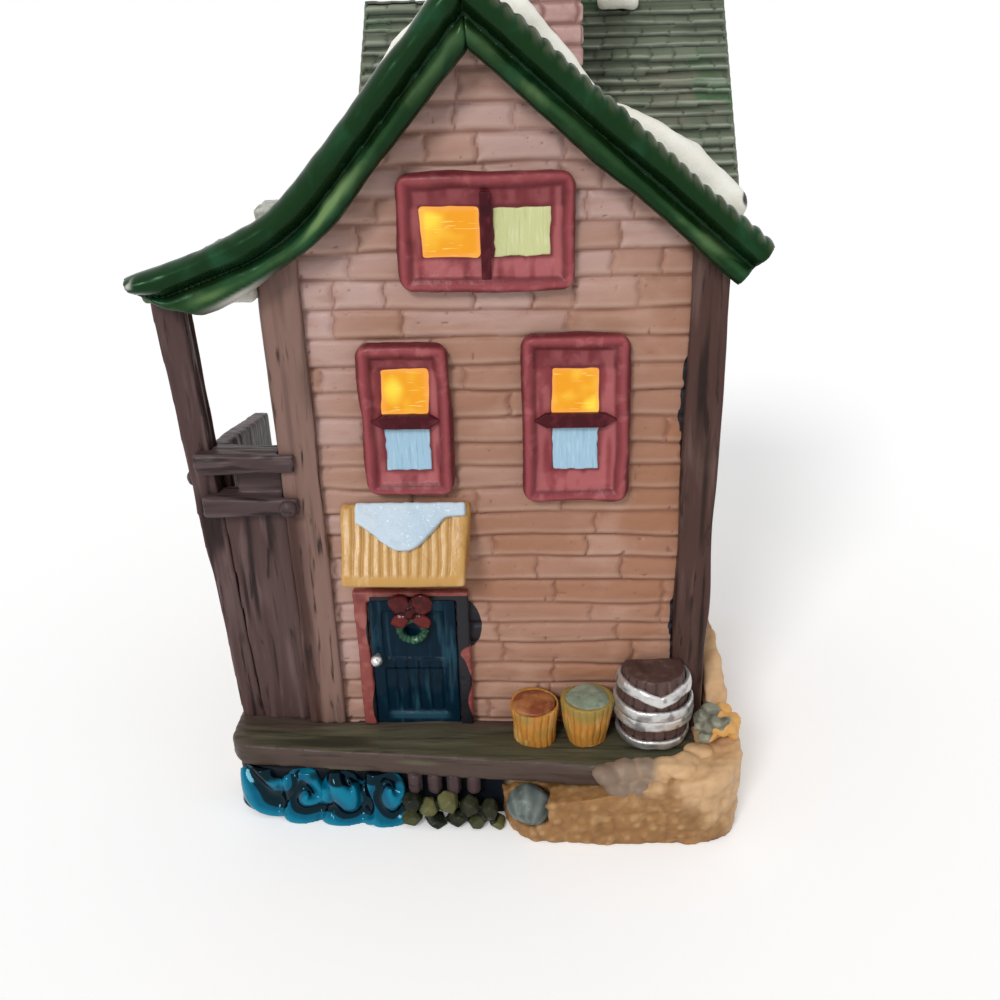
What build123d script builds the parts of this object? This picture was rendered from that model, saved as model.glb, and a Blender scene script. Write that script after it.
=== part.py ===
from build123d import *
import os
from math import atan2, cos, degrees, radians, sin, tan

# A slab-built ceramic village house with a clip-in lamp, in millimetres.
# While it is drawn, X = 0 is the middle of the front wall, Y = 0 its face and Z = 0 the table.
# The finished pieces are then moved so that the origin is the middle of the footprint.

# Ground: a hollow base, the planked deck and the shore in front of it
base_height = 12.0
base_skin = 4.0
base_front_reach = 11.0
base_back_reach = 4.0
base_left_reach = 18.0
base_right_reach = 3.5
base_corner_radius = 9.0
deck_thickness = 5.0
deck_front_left = 9.5
deck_front_right = 17.5
deck_right_inset = 1.5
deck_corner_radius = 5.0
plank_width = 5.6
plank_groove = 0.6
pile_radius = 1.1
pile_height = 4.2
pile_count = 4
pile_pitch = 4.2
pile_setback = 1.6

# House walls: a front block and a wing that crosses it
wall_width = 85.0
wall_thickness = 4.0
front_block_inset = 4.0
wing_left_inset = 18.5
board_height = 4.6
board_groove = 0.7
corner_board_width = 6.4
corner_board_return = 7.0
corner_board_thickness = 1.5
corner_board_lap = 0.6

# Roofs: outer surfaces run through the tips of the shingle butts
ridge_rise = 147.5
ridge_offset = 3.9
right_pitch = 40.0
left_pitch = 48.3
porch_pitch = 19.6
right_eave_reach = 5.7
porch_eave_reach = 23.3
flare_inset = 4.5
flare_radius = 40.0
roof_thickness = 5.0
roof_front_reach = 4.0
roof_back_reach = 3.0
shingle_course = 5.0
wing_course = 2.9
shingle_butt = 0.7
wing_ridge_depth = 48.0
wing_pitch = 46.0
wing_run = 36.0
wing_eave_reach = 6.0
wing_rake_reach = 4.0

# Bargeboards: a double roll moulding along the front edge of the roof
barge_upper_depth = 5.2
barge_lower_depth = 4.0
barge_upper_swell = 4.2
barge_lower_swell = 3.2
barge_quirk = 1.6
barge_lip = 0.8
barge_rise = 2.0

# Brick chimney and stone stack
chimney_width = 12.6
chimney_depth = 11.0
chimney_offset = 14.2
chimney_setback = 22.0
chimney_rise = 16.5
chimney_cap_height = 4.0
chimney_cap_reach = 1.2
brick_course = 3.6
brick_groove = 0.5
flue_radius = 2.6
flue_depth = 6.0
stack_width = 7.5
stack_depth = 9.0
stack_rise = 4.6
stack_offset = 8.4
stack_setback = 31.0
stone_course = 2.6
stack_bevel = 0.9

# Snow lying on the roofs
snow_thickness = 3.4
snow_slope_start = 6.0
snow_slope_length = 25.0
snow_slope_depth = 13.0
snow_slope_setback = 8.0
valley_snow_start = 36.0
valley_snow_length = 29.0
valley_snow_depth = 20.0
valley_snow_setback = 10.0
valley_snow_thickness = 5.0
ridge_snow_length = 8.6
ridge_snow_width = 5.2
ridge_snow_offset = 24.4
ridge_snow_drop = 0.3
ridge_snow_thickness = 2.4
rim_snow_start = 10.0
rim_snow_length = 18.0
rim_snow_width = 10.0
rim_snow_setback = 4.0
rim_snow_thickness = 1.4
snow_corner_radius = 4.0

# Windows: proud frames with one film pane each and one blind painted pane
window_proud = 2.2
window_corner_radius = 3.0
film_thickness = 0.3
film_margin = 1.2
blind_recess = 0.9
window_stile = 4.4
window_head = 5.25
left_window_offset = 17.8
right_window_offset = 15.1
right_window_margin = 1.45
window_sill_gap = 3.0
pane_width = 9.2
pane_height = 9.2
pane_split = 2.6
upper_window_stile = 4.5
upper_window_head = 6.2
upper_window_offset = 1.1
upper_sill_gap = 9.4
upper_pane_width = 10.6
upper_pane_height = 9.0
upper_pane_split = 2.4

# Door and its awning
door_offset = 19.4
door_jamb = 3.0
door_head = 2.4
door_frame_proud = 2.0
door_width = 18.6
door_height = 31.6
door_proud = 1.3
door_fit = 0.2
door_stile = 2.6
door_panel_recess = 0.5
door_lock_rail = 2.4
knob_radius = 1.3
knob_reach = 2.2
knob_height = 18.0
wreath_radius = 2.7
wreath_roll = 1.1
wreath_drop = 6.6
bow_width = 8.6
bow_height = 4.2
bow_thickness = 1.6
awning_width = 26.0
door_head_gap = 6.0
awning_drop = 13.0
awning_reach = 8.5
awning_thickness = 2.0
awning_ribs = 11
awning_cheek = 1.6
awning_snow_width = 21.0
awning_snow_run = 8.0
awning_snow_thickness = 1.6
awning_snow_lobe = 4.2

# Barrel and baskets on the deck
barrel_height = 17.5
barrel_end_radius = 6.4
barrel_belly_radius = 7.8
barrel_inset = 10.5
barrel_setback = 3.0
hoop_width = 2.0
hoop_proud = 0.6
basket_rim_radius = 5.5
basket_foot_radius = 4.4
basket_skin = 1.0
small_basket_height = 9.0
large_basket_height = 10.5
goods_gap = 0.3
basket_gap = 0.4
basket_fill_rise = 2.2
basket_well = 2.5

# Porch at the left: a leaning post and boarded half walls with a rail
post_size = 5.0
post_top_size = 5.4
post_foot_reach = 14.9
post_top_reach = 19.7
post_setback = 2.6
panel_thickness = 3.6
panel_height = 52.0
panel_setback = 0.2
panel_board = 3.6
panel_groove = 0.6
porch_depth = 36.0
rail_rise = 13.6
rail_size = 4.2
rail_proud = 1.8
rail_lap = 2.0
rail_round = 0.8
rail_block_width = 9.5
peg_radius = 2.0
peg_reach = 1.6
porch_ceiling_rise = 96.2

# Shore relief: water, stones, sand and a plant
water_drop = 0.4
water_reach = 5.0
water_inset = 1.8
wave_count = 4
wave_width = 9.2
stone_count = 4
stone_pitch = 4.5
stone_width = 4.9
stone_gap = 0.4
stone_reach = 6.4
boulder_width = 10.8
boulder_depth = 9.0
boulder_height = 8.8
boulder_offset = 5.3
boulder_setback = 16.4
boulder_drop = 4.8
sand_reach = 9.0
sand_side_reach = 4.5
sand_corner_radius = 10.0
sand_foot_drop = 4.0
sand_crest_rise = 1.5
sand_depth = 2.0
dune_rise = 21.0
dune_crest = 3.0
dune_shoulder = 5.6
dune_length = 36.0
dune_ramp = 12.0
plant_radius = 4.2
plant_height = 8.5
plant_lift = 3.0

# Lamp: a candelabra socket held in the back wall by a spring clip
lamp_rise = 24.0
bulb_clearance = 2.2
flange_lap = 2.3
flange_thickness = 2.0
socket_radius = 9.0
socket_floor = 3.0
tail_radius = 7.0
tail_end_radius = 5.0
tail_length = 10.0
inlet_radius = 2.5
tail_floor = 2.0
clip_thickness = 0.6
clip_width = 5.0
clip_band = 6.0
clip_clearance = 0.1
clip_hole_clearance = 0.6
cap_radius = 6.0
cap_fit = 0.05
cap_length = 14.0
contact_radius = 2.0
contact_length = 0.7
glass_radius = 10.5
glass_neck_radius = 5.4
glass_neck_length = 6.0
glass_length = 40.0
glass_tip_radius = 2.6
glass_skin = 0.8
filament_radius = 0.25
filament_spread = 3.0
filament_reach = 14.0
seat_gap = 0.3
overrun = 5.0

# Shares that shape curves and repeats
snow_round_share = 0.6
bow_pinch_share = 0.35
awning_rib_share = 0.42
hoop_height_shares = (0.12, 0.43, 0.57, 0.88)
wave_overlap_share = 0.66
wave_height_shares = (1.0, 0.9, 0.82, 0.92)
wave_reach_shares = (0.5, 0.75, 0.9, 1.0)
contact_taper_share = 0.6
belly_share = 0.8
flame_share = 0.56

# Places that follow from the sizes
half = wall_width / 2
deck_top = base_height + deck_thickness
ridge_x = -ridge_offset
ridge_z = deck_top + ridge_rise
wing_x = -half + wing_left_inset
wing_back = wing_ridge_depth + wing_run - wing_eave_reach
tall = ridge_z + chimney_rise + overrun
far = wing_back + wall_width
left_edge = -half - base_left_reach
right_edge = half + base_right_reach
inner_half = half - wall_thickness
front_block_depth = wing_ridge_depth - front_block_inset
porch_rail_height = panel_height + rail_rise
ceiling_z = deck_top + porch_ceiling_rise
post_foot_offset = half + post_foot_reach
post_top_offset = half + post_top_reach
door_frame_width = door_width + 2 * door_jamb
door_frame_height = door_height + door_head
wreath_height = door_height - wreath_drop
awning_top = door_frame_height + door_head_gap + awning_drop
lower_window_width = pane_width + 2 * window_stile
lower_window_height = 2 * pane_height + pane_split + 2 * window_head
lower_window_sill = awning_top + window_sill_gap
upper_window_width = 2 * upper_pane_width + upper_pane_split + 2 * upper_window_stile
upper_window_height = upper_pane_height + 2 * upper_window_head
upper_window_sill = lower_window_sill + lower_window_height + upper_sill_gap
barrel_offset = half - barrel_inset
large_basket_offset = barrel_offset - barrel_belly_radius - hoop_proud - basket_rim_radius - goods_gap
small_basket_offset = large_basket_offset - 2 * basket_rim_radius - goods_gap
water_height = base_height - water_drop
stone_height = base_height - pile_height - stone_gap
boulder_lift = base_height - boulder_drop
sand_low = base_height - sand_foot_drop
sand_high = deck_top + sand_crest_rise
lamp_height = base_height + lamp_rise
lamp_hole_radius = glass_radius + bulb_clearance
flange_radius = lamp_hole_radius + flange_lap
socket_bore_depth = cap_length + contact_length + seat_gap
socket_reach = socket_bore_depth + socket_floor
inlet_depth = tail_length - tail_floor


def face_of(*points):
    """A flat outline from its corner points."""
    return make_face(Polyline(*points, close=True))


def between_x(outline, x_from, x_to):
    """Extrude an outline drawn in (Y, Z)."""
    plane = Plane(origin=(x_from, 0, 0), x_dir=(0, 1, 0), z_dir=(1, 0, 0))
    return extrude(plane * outline, amount=x_to - x_from)


def between_y(outline, y_from, y_to):
    """Extrude an outline drawn in (X, Z)."""
    plane = Plane(origin=(0, y_to, 0), x_dir=(1, 0, 0), z_dir=(0, -1, 0))
    return extrude(plane * outline, amount=y_to - y_from)


def between_z(outline, z_from, z_to):
    """Extrude an outline drawn in (X, Y)."""
    return extrude(Plane.XY.offset(z_from) * outline, amount=z_to - z_from)


def block(x_from, x_to, y_from, y_to, z_from, z_to):
    """A box between two corners."""
    middle = Pos((x_from + x_to) / 2, (y_from + y_to) / 2, (z_from + z_to) / 2)
    return middle * Box(x_to - x_from, y_to - y_from, z_to - z_from)


def turned_up(outline):
    """Revolve an outline drawn in (radius, Z) about the upright axis."""
    return revolve(Plane.XZ * outline, axis=Axis.Z)


def turned_back(outline):
    """Revolve an outline drawn in (radius, Y) about the axis that runs into the house."""
    return revolve(outline, axis=Axis.Y)


# Roof lines, drawn in (X, Z) across the front and in (Y, Z) across the wing
def step_along(start, run, pitch, side):
    """The point a horizontal run away, down a slope of the given pitch."""
    return Vector(start.X + side * run, start.Y - run * tan(radians(pitch)))


def inward(pitch, side):
    """Unit vector into the roof, square to a slope that falls towards the given side."""
    return Vector(-side * sin(radians(pitch)), -cos(radians(pitch)))


def offset_corner(corner, first, second, depth):
    """Where two lines through a corner meet after both are moved in by a depth."""
    return corner + (first + second) * (depth / (1 + first.dot(second)))


ridge = Vector(ridge_x, ridge_z)
right_eave = step_along(ridge, half + right_eave_reach - ridge_x, right_pitch, 1)
flare = step_along(ridge, ridge_x + half - flare_inset, left_pitch, -1)
porch_eave = step_along(flare, flare_inset + porch_eave_reach, porch_pitch, -1)
into_right = inward(right_pitch, 1)
into_left = inward(left_pitch, -1)
into_porch = inward(porch_pitch, -1)
ridge_under = offset_corner(ridge, into_left, into_right, roof_thickness)
flare_under = offset_corner(flare, into_left, into_porch, roof_thickness)
porch_under = porch_eave + into_porch * roof_thickness
right_under = right_eave + into_right * roof_thickness
left_line = FilletPolyline(ridge, flare, porch_eave, radius=flare_radius)
left_soffit = FilletPolyline(ridge_under, flare_under, porch_under, radius=flare_radius + roof_thickness)
right_line = Line(ridge, right_eave)

wing_ridge = Vector(wing_ridge_depth, ridge_z)
wing_front_eave = step_along(wing_ridge, wing_run, wing_pitch, -1)
wing_back_eave = step_along(wing_ridge, wing_run, wing_pitch, 1)
wing_under = offset_corner(wing_ridge, inward(wing_pitch, -1), inward(wing_pitch, 1), roof_thickness)
wing_front_under = wing_front_eave + inward(wing_pitch, -1) * roof_thickness
wing_back_under = wing_back_eave + inward(wing_pitch, 1) * roof_thickness


def roof_volume(left, peak_line, right):
    """The (X, Z) region below a front roof line, down to the table."""
    ends = Polyline(right, Vector(right.X, 0), Vector(left.X, 0), left)
    return make_face([*peak_line, *ends.edges()])


front_envelope_face = roof_volume(porch_eave, [*left_line.edges(), *right_line.edges()], right_eave)
front_space_face = roof_volume(
    porch_under, [*left_soffit.edges(), *Line(ridge_under, right_under).edges()], right_under)
wing_space_face = face_of(
    wing_front_under, wing_under, wing_back_under, (wing_back_under.X, 0), (wing_front_under.X, 0))

under_front = between_y(front_space_face, 0, wing_ridge_depth)
front_envelope = between_y(front_envelope_face, -far, wing_ridge_depth)
under_wing = between_x(wing_space_face, wing_x, half)
wing_reach_space = between_x(wing_space_face, wing_x, half + far)


def shingle_line(path, course, side):
    """Stepped outer line of a slope: each course ends in a butt that stands proud of the next."""
    count = max(round(path.length / course), 1)
    points = [path @ 0]
    for index in range(1, count + 1):
        along = path.length * index / count
        place = path.position_at(along, PositionMode.LENGTH)
        run = path.tangent_at(along, PositionMode.LENGTH)
        points.append(place)
        if index < count:
            points.append(place + Vector(side * run.Y, -side * run.X) * shingle_butt)
    return points


# Walls: slabs with boarded faces, trimmed to the underside of the roofs
def boarded_outline(face, sense):
    """Wall section in (depth, Z): a plain back and boards with a groove between courses."""
    back = face + sense * wall_thickness
    points = [(back, base_height), (face, base_height)]
    level = base_height + board_height
    while level < tall:
        points.append((face, level - board_groove / 2))
        points.append((face + sense * board_groove, level))
        points.append((face, level + board_groove / 2))
        level += board_height
    points.append((face, tall))
    points.append((back, tall))
    return face_of(*points)


def pane_places():
    """Middle (X, Z) of each film pane and of the blind pane beside it, with their size."""
    rise = (pane_height + pane_split) / 2
    middle = deck_top + lower_window_sill + lower_window_height / 2
    reach = (upper_pane_width + upper_pane_split) / 2
    upper = deck_top + upper_window_sill + upper_window_height / 2
    return {
        "left": ((-left_window_offset, middle + rise), (-left_window_offset, middle - rise),
                 pane_width, pane_height),
        "right": ((right_window_offset, middle + rise), (right_window_offset, middle - rise),
                  pane_width, pane_height),
        "upper": ((-upper_window_offset - reach, upper), (-upper_window_offset + reach, upper),
                  upper_pane_width, upper_pane_height),
    }


def make_front_wall():
    wall = between_x(boarded_outline(0, 1), -half, half) & under_front
    for lit, blind, width, height in pane_places().values():
        wall -= between_y(Pos(*lit) * Rectangle(width, height), -overrun, wall_thickness + overrun)
    return wall


def make_left_wall():
    slab = between_y(boarded_outline(-half, 1), wall_thickness, front_block_depth - wall_thickness)
    return slab & under_front


def make_right_wall():
    slab = between_y(boarded_outline(half, -1), wall_thickness, wing_back - wall_thickness)
    return slab & (under_front + under_wing)


def make_back_left_wall():
    slab = between_x(boarded_outline(front_block_depth, -1), -half, wing_x + wall_thickness)
    return slab & under_front


def make_wing_left_wall():
    slab = between_y(boarded_outline(wing_x, 1), wing_front_eave.X, wing_back - wall_thickness)
    hidden = front_envelope & block(-far, far, -far, front_block_depth, 0, tall)
    return (slab & under_wing) - hidden


def make_wing_back_wall():
    slab = between_x(boarded_outline(wing_back, -1), wing_x, half) & under_wing
    hole = Pos(lamp_x, 0, lamp_height) * turned_back(
        face_of((0, 0), (lamp_hole_radius, 0), (lamp_hole_radius, far), (0, far)))
    return slab - hole


lamp_x = (wing_x + half) / 2


def make_corner_board(side):
    """An angle strip round a front corner."""
    edge = side * half
    outer = edge + side * (corner_board_thickness if side < 0 else corner_board_lap)
    inner = edge - side * corner_board_width
    outline = face_of(
        (inner, 0), (inner, -corner_board_thickness), (outer, -corner_board_thickness),
        (outer, corner_board_return), (edge, corner_board_return), (edge, 0))
    foot = deck_top if side < 0 else base_height
    strip = between_z(outline, foot, tall)
    return strip & between_y(front_space_face, -overrun, wing_ridge_depth)


# Roof slabs
below_ceiling = block(-far, -half, -far, far, 0, ceiling_z)


def make_porch_ceiling():
    """The level underside of the porch roof, which ends at the corner board."""
    corner = -half - corner_board_thickness
    over_porch = block(-far, corner, -roof_front_reach, porch_depth, ceiling_z, tall)
    return between_y(front_space_face, -roof_front_reach, porch_depth) & over_porch


def make_front_roof_left():
    points = shingle_line(left_line, shingle_course, -1)
    top = Polyline(*points, porch_under)
    outline = make_face([*top.edges(), *left_soffit.edges(), *Line(ridge_under, ridge).edges()])
    slab = between_y(outline, -roof_front_reach, front_block_depth + roof_back_reach)
    return slab - under_wing - below_ceiling


def make_front_roof_right():
    points = shingle_line(right_line, shingle_course, 1)
    slab = between_y(face_of(*points, right_under, ridge_under), -roof_front_reach, wing_ridge_depth)
    return slab - wing_reach_space


def wing_slab(eave, under, side):
    points = shingle_line(Line(wing_ridge, eave), wing_course, side)
    return between_x(face_of(*points, under, wing_under), wing_x - wing_rake_reach, half + wing_rake_reach)


def make_wing_roof_front(side):
    """The front slope on one side of the front ridge."""
    slab = wing_slab(wing_front_eave, wing_front_under, -1) - front_envelope
    ends = sorted((ridge_x, side * far))
    return slab & block(*ends, -far, far, 0, tall)


def make_wing_roof_back():
    return wing_slab(wing_back_eave, wing_back_under, 1)


# Bargeboards: the moulding swept down each slope and mitred at the ridge
def make_bargeboard(side):
    depth = barge_upper_depth + barge_lower_depth
    pitch = right_pitch if side > 0 else left_pitch
    start = step_along(ridge, -depth, pitch, side)
    if side > 0:
        path = Line(start, right_eave)
    else:
        path = FilletPolyline(start, flare, porch_eave, radius=flare_radius)
    rail = Plane(origin=(0, -roof_front_reach, 0), x_dir=(1, 0, 0), z_dir=(0, -1, 0)) * path
    place = Plane(origin=rail @ 0, x_dir=(0, side, 0), z_dir=rail % 0)
    ahead = -side
    back_top = (0, barge_rise)
    lip = (ahead * barge_lip, barge_rise)
    upper = (ahead * barge_upper_swell, barge_rise - barge_upper_depth / 2)
    quirk = (ahead * barge_quirk, barge_rise - barge_upper_depth)
    lower = (ahead * barge_lower_swell, barge_rise - barge_upper_depth - barge_lower_depth / 2)
    foot = (ahead * barge_lip, barge_rise - depth)
    back_foot = (0, barge_rise - depth)
    section = make_face([
        *Line(back_top, lip).edges(), *ThreePointArc(lip, upper, quirk).edges(),
        *ThreePointArc(quirk, lower, foot).edges(), *Polyline(foot, back_foot, back_top).edges()])
    board = sweep(place * section, path=rail)
    beyond = Pos(ridge_x, 0, ridge_z) * Rot(0, (right_pitch - left_pitch) / 2, 0) * block(
        *sorted((0, -side * far)), -far, far, -far, far)
    return board - beyond - below_ceiling


# Chimneys
def coursed_outline(width, low, high, course, groove):
    """Half of a stack's section in (X, Z): courses with a groove between them."""
    points = [(-width / 2, low), (width / 2, low)]
    level = high - course
    rising = []
    while level > low + course:
        rising.append(level)
        level -= course
    for joint in reversed(rising):
        points += [(width / 2, joint - groove / 2), (width / 2 - groove, joint)]
        points += [(width / 2, joint + groove / 2)]
    points += [(width / 2, high), (-width / 2, high)]
    for joint in rising:
        points += [(-width / 2, joint + groove / 2), (groove - width / 2, joint)]
        points += [(-width / 2, joint - groove / 2)]
    return face_of(*points)


def coursed_stack(width, depth, low, high, course, groove):
    """A square stack with a groove round every course."""
    across = between_y(coursed_outline(width, low, high, course, groove), -depth / 2, depth / 2)
    along = between_x(coursed_outline(depth, low, high, course, groove), -width / 2, width / 2)
    return across & along


def make_brick_chimney():
    top = ridge_z + chimney_rise
    low = ridge_z - (chimney_offset + chimney_width) * tan(radians(right_pitch))
    stack = coursed_stack(chimney_width, chimney_depth, low, top, brick_course, brick_groove)
    cap = Pos(0, 0, top) * Box(
        chimney_width + 2 * chimney_cap_reach, chimney_depth + 2 * chimney_cap_reach, chimney_cap_height,
        align=(Align.CENTER, Align.CENTER, Align.MIN))
    flue = Pos(0, 0, top + chimney_cap_height - flue_depth) * Cylinder(
        flue_radius, flue_depth + overrun, align=(Align.CENTER, Align.CENTER, Align.MIN))
    cap = chamfer(cap.edges().group_by(Axis.Z)[-1], chimney_cap_reach)
    return Pos(ridge_x + chimney_offset, chimney_setback, 0) * (stack + cap - flue) - front_envelope


def stack_roof_z():
    """Height of the porch roof where the stone stack comes through it."""
    return flare.Y - (stack_offset + flare_inset) * tan(radians(porch_pitch))


def make_stone_stack():
    top = stack_roof_z() + stack_rise
    low = stack_roof_z() - stack_width
    stack = coursed_stack(stack_width, stack_depth, low, top, stone_course, brick_groove)
    stack = chamfer(stack.faces().sort_by(Axis.Z)[-1].edges(), stack_bevel)
    return Pos(-half - stack_offset + stack_width / 2, stack_setback, 0) * stack - front_envelope


# Snow
def snow_patch(plane, depth, run, thickness):
    """A soft-edged drift lying on a slope."""
    radius = min(snow_corner_radius, depth / 3, run / 3)
    patch = extrude(RectangleRounded(depth, run, radius), amount=thickness)
    patch = fillet(patch.edges().group_by(Axis.Z)[-1], thickness * snow_round_share)
    return plane * patch


right_slope = Plane(origin=(ridge_x, 0, ridge_z), x_dir=(0, 1, 0), z_dir=tuple(
    Vector(sin(radians(right_pitch)), 0, cos(radians(right_pitch)))))
left_slope = Plane(origin=(ridge_x, 0, ridge_z), x_dir=(0, -1, 0), z_dir=tuple(
    Vector(-sin(radians(left_pitch)), 0, cos(radians(left_pitch)))))
wing_slope = Plane(origin=(0, wing_ridge_depth, ridge_z), x_dir=(1, 0, 0), z_dir=tuple(
    Vector(0, -sin(radians(wing_pitch)), cos(radians(wing_pitch)))))


def make_snow_front_slope():
    place = right_slope * Pos(snow_slope_setback, -snow_slope_start - snow_slope_length / 2, 0)
    return snow_patch(Plane(place), snow_slope_depth, snow_slope_length, snow_thickness) - chimney_room


def make_snow_valley():
    place = right_slope * Pos(valley_snow_setback, -valley_snow_start - valley_snow_length / 2, 0)
    drift = snow_patch(Plane(place), valley_snow_depth, valley_snow_length, valley_snow_thickness)
    return drift - between_x(wing_envelope_face, -far, far)


wing_envelope_face = face_of(
    wing_front_eave, wing_ridge, wing_back_eave, (wing_back_eave.X, 0), (wing_front_eave.X, 0))
chimney_room = block(
    ridge_x + chimney_offset - chimney_width / 2, ridge_x + chimney_offset + chimney_width / 2,
    chimney_setback - chimney_depth / 2, far, 0, tall)


def make_snow_ridge():
    place = wing_slope * Pos(ridge_snow_offset, -ridge_snow_drop - ridge_snow_width / 2, 0)
    return snow_patch(Plane(place), ridge_snow_length, ridge_snow_width, ridge_snow_thickness)


def make_snow_rim():
    place = left_slope * Pos(-rim_snow_setback, -rim_snow_start - rim_snow_length / 2, 0)
    return snow_patch(Plane(place), rim_snow_width, rim_snow_length, rim_snow_thickness)


# Windows
def make_window_frame(name):
    lit, blind, width, height = pane_places()[name]
    upper = name == "upper"
    margin = 2 * right_window_margin if name == "right" else 0
    outer_width = upper_window_width if upper else lower_window_width + margin
    outer_height = upper_window_height if upper else lower_window_height + margin
    middle = ((lit[0] + blind[0]) / 2, (lit[1] + blind[1]) / 2)
    outline = Pos(*middle) * RectangleRounded(outer_width, outer_height, window_corner_radius)
    frame = between_y(outline, -window_proud, 0)
    frame = fillet(frame.faces().sort_by(Axis.Y)[0].edges(), window_proud / 2)
    pane = Rectangle(width, height)
    frame -= between_y(Pos(*lit) * pane, -window_proud - overrun, overrun)
    frame -= between_y(Pos(*lit) * Rectangle(width + 2 * film_margin, height + 2 * film_margin),
                       -film_thickness, overrun)
    frame -= between_y(Pos(*blind) * pane, -window_proud - overrun, blind_recess - window_proud)
    return frame


def make_film_pane(name):
    lit, blind, width, height = pane_places()[name]
    edge = 2 * film_margin - 2 * door_fit
    return between_y(Pos(*lit) * Rectangle(width + edge, height + edge), -film_thickness, 0)


# Door
def make_door_frame():
    middle = deck_top + door_frame_height / 2
    frame = between_y(Pos(-door_offset, middle) * Rectangle(door_frame_width, door_frame_height),
                      -door_frame_proud, 0)
    frame = fillet(frame.faces().sort_by(Axis.Y)[0].edges(), door_frame_proud / 3)
    opening = block(-door_offset - door_width / 2 - door_fit, -door_offset + door_width / 2 + door_fit,
                    -far, far, 0, deck_top + door_height + door_fit)
    return frame - opening


def make_door_leaf():
    leaf = block(-door_offset - door_width / 2, -door_offset + door_width / 2, -door_proud, 0,
                 deck_top, deck_top + door_height)
    inset_width = door_width - 2 * door_stile
    inset_height = (door_height - 2 * door_stile - door_lock_rail) / 2
    for row in range(2):
        middle = deck_top + door_stile + inset_height / 2 + row * (inset_height + door_lock_rail)
        leaf -= between_y(Pos(-door_offset, middle) * Rectangle(inset_width, inset_height),
                          -door_proud - overrun, door_panel_recess - door_proud)
    return leaf


def make_door_knob():
    neck = Cylinder(knob_radius / 2, knob_reach, align=(Align.CENTER, Align.CENTER, Align.MIN))
    neck = Rot(90, 0, 0) * neck
    ball = Pos(0, -knob_reach, 0) * Sphere(knob_radius)
    place = Pos(-door_offset - door_width / 2 + door_stile / 2, -door_proud, deck_top + knob_height)
    return place * (neck + ball)


def make_door_wreath():
    ring = Rot(90, 0, 0) * Torus(wreath_radius, wreath_roll)
    flat = block(-far, far, -wreath_roll / 2, far, -far, far)
    seat = door_panel_recess - door_proud - wreath_roll / 2
    return Pos(-door_offset, seat, deck_top + wreath_height) * (ring - flat)


def make_wreath_bow():
    """Two loops and a knot, flat at the back."""
    side = bow_width / 2
    tall_loop = bow_height / 2
    pinch = tall_loop * bow_pinch_share
    outline = face_of((-side, tall_loop), (-pinch, pinch), (pinch, pinch), (side, tall_loop),
                      (side, -tall_loop), (pinch, -pinch), (-pinch, -pinch), (-side, -tall_loop))
    front = door_panel_recess - door_proud - wreath_roll * 3 / 2 - seat_gap / 3
    bow = between_y(outline, front - bow_thickness, front)
    bow = chamfer(bow.faces().sort_by(Axis.Y)[0].edges(), bow_thickness / 3)
    return Pos(-door_offset, 0, deck_top + wreath_height + wreath_radius) * bow


# Awning: a corrugated hood on two cheeks
awning_tilt = degrees(atan2(awning_drop, awning_reach))
awning_plane = Plane(
    origin=(-door_offset, 0, deck_top + awning_top), x_dir=(1, 0, 0),
    z_dir=(0, -cos(radians(awning_tilt)), -sin(radians(awning_tilt))))


def make_awning():
    pitch = awning_width / awning_ribs
    length = (awning_drop ** 2 + awning_reach ** 2) ** 0.5
    section = Pos(0, -awning_thickness / 2) * Rectangle(awning_width, awning_thickness)
    for index in range(awning_ribs):
        section += Pos((index - (awning_ribs - 1) / 2) * pitch, 0) * Circle(pitch * awning_rib_share)
    sheet = extrude(awning_plane * section, amount=length)
    sheet += extrude(awning_plane * section, amount=-awning_reach)
    foot = deck_top + awning_top - awning_drop
    sheet &= block(-far, far, -far, 0, foot, foot + awning_drop + awning_thickness)
    cheek = face_of((0, foot + awning_drop), (-awning_reach, foot), (0, foot))
    for side in (-1, 1):
        edge = side * awning_width / 2
        ends = sorted((edge, edge - side * awning_cheek))
        sheet += between_x(cheek, ends[0] - door_offset, ends[1] - door_offset)
    return sheet


def make_awning_snow():
    """A thick apron over the top of the hood with a hanging tongue."""
    ribs = awning_width / awning_ribs * awning_rib_share
    cover = Pos(0, ribs + awning_snow_thickness / 2) * Rectangle(awning_snow_width, awning_snow_thickness)
    apron = extrude(awning_plane * cover, amount=awning_snow_run)
    tongue = Pos(0, 0, 0) * Cylinder(awning_snow_lobe, awning_snow_thickness)
    lean = awning_plane * Pos(0, ribs + awning_snow_thickness / 2, awning_snow_run) * Rot(90, 0, 0)
    apron += lean * tongue
    return apron - block(-far, far, 0, far, 0, tall)


# Barrel and baskets
def barrel_outline(extra):
    """Half section of the barrel in (radius, Z), with its belly swelled by an extra reach."""
    return make_face([
        *Polyline((barrel_end_radius + extra, 0), (0, 0), (0, barrel_height),
                  (barrel_end_radius + extra, barrel_height)).edges(),
        *ThreePointArc((barrel_end_radius + extra, barrel_height),
                       (barrel_belly_radius + extra, barrel_height / 2),
                       (barrel_end_radius + extra, 0)).edges()])


barrel_place = Pos(barrel_offset, -corner_board_thickness - barrel_setback, deck_top)
barrel_back = block(-far, far, -corner_board_thickness - seat_gap, far, 0, tall)


def make_barrel():
    return barrel_place * turned_up(barrel_outline(0)) - barrel_back


def make_barrel_hoops():
    sleeve = turned_up(barrel_outline(hoop_proud)) - turned_up(barrel_outline(0))
    hoops = Part()
    for share in hoop_height_shares:
        level = barrel_height * share
        hoops += sleeve & block(-far, far, -far, far, level - hoop_width / 2, level + hoop_width / 2)
    return barrel_place * hoops - barrel_back


def basket_place(offset):
    return Pos(offset, -basket_rim_radius - basket_gap, deck_top)


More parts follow.
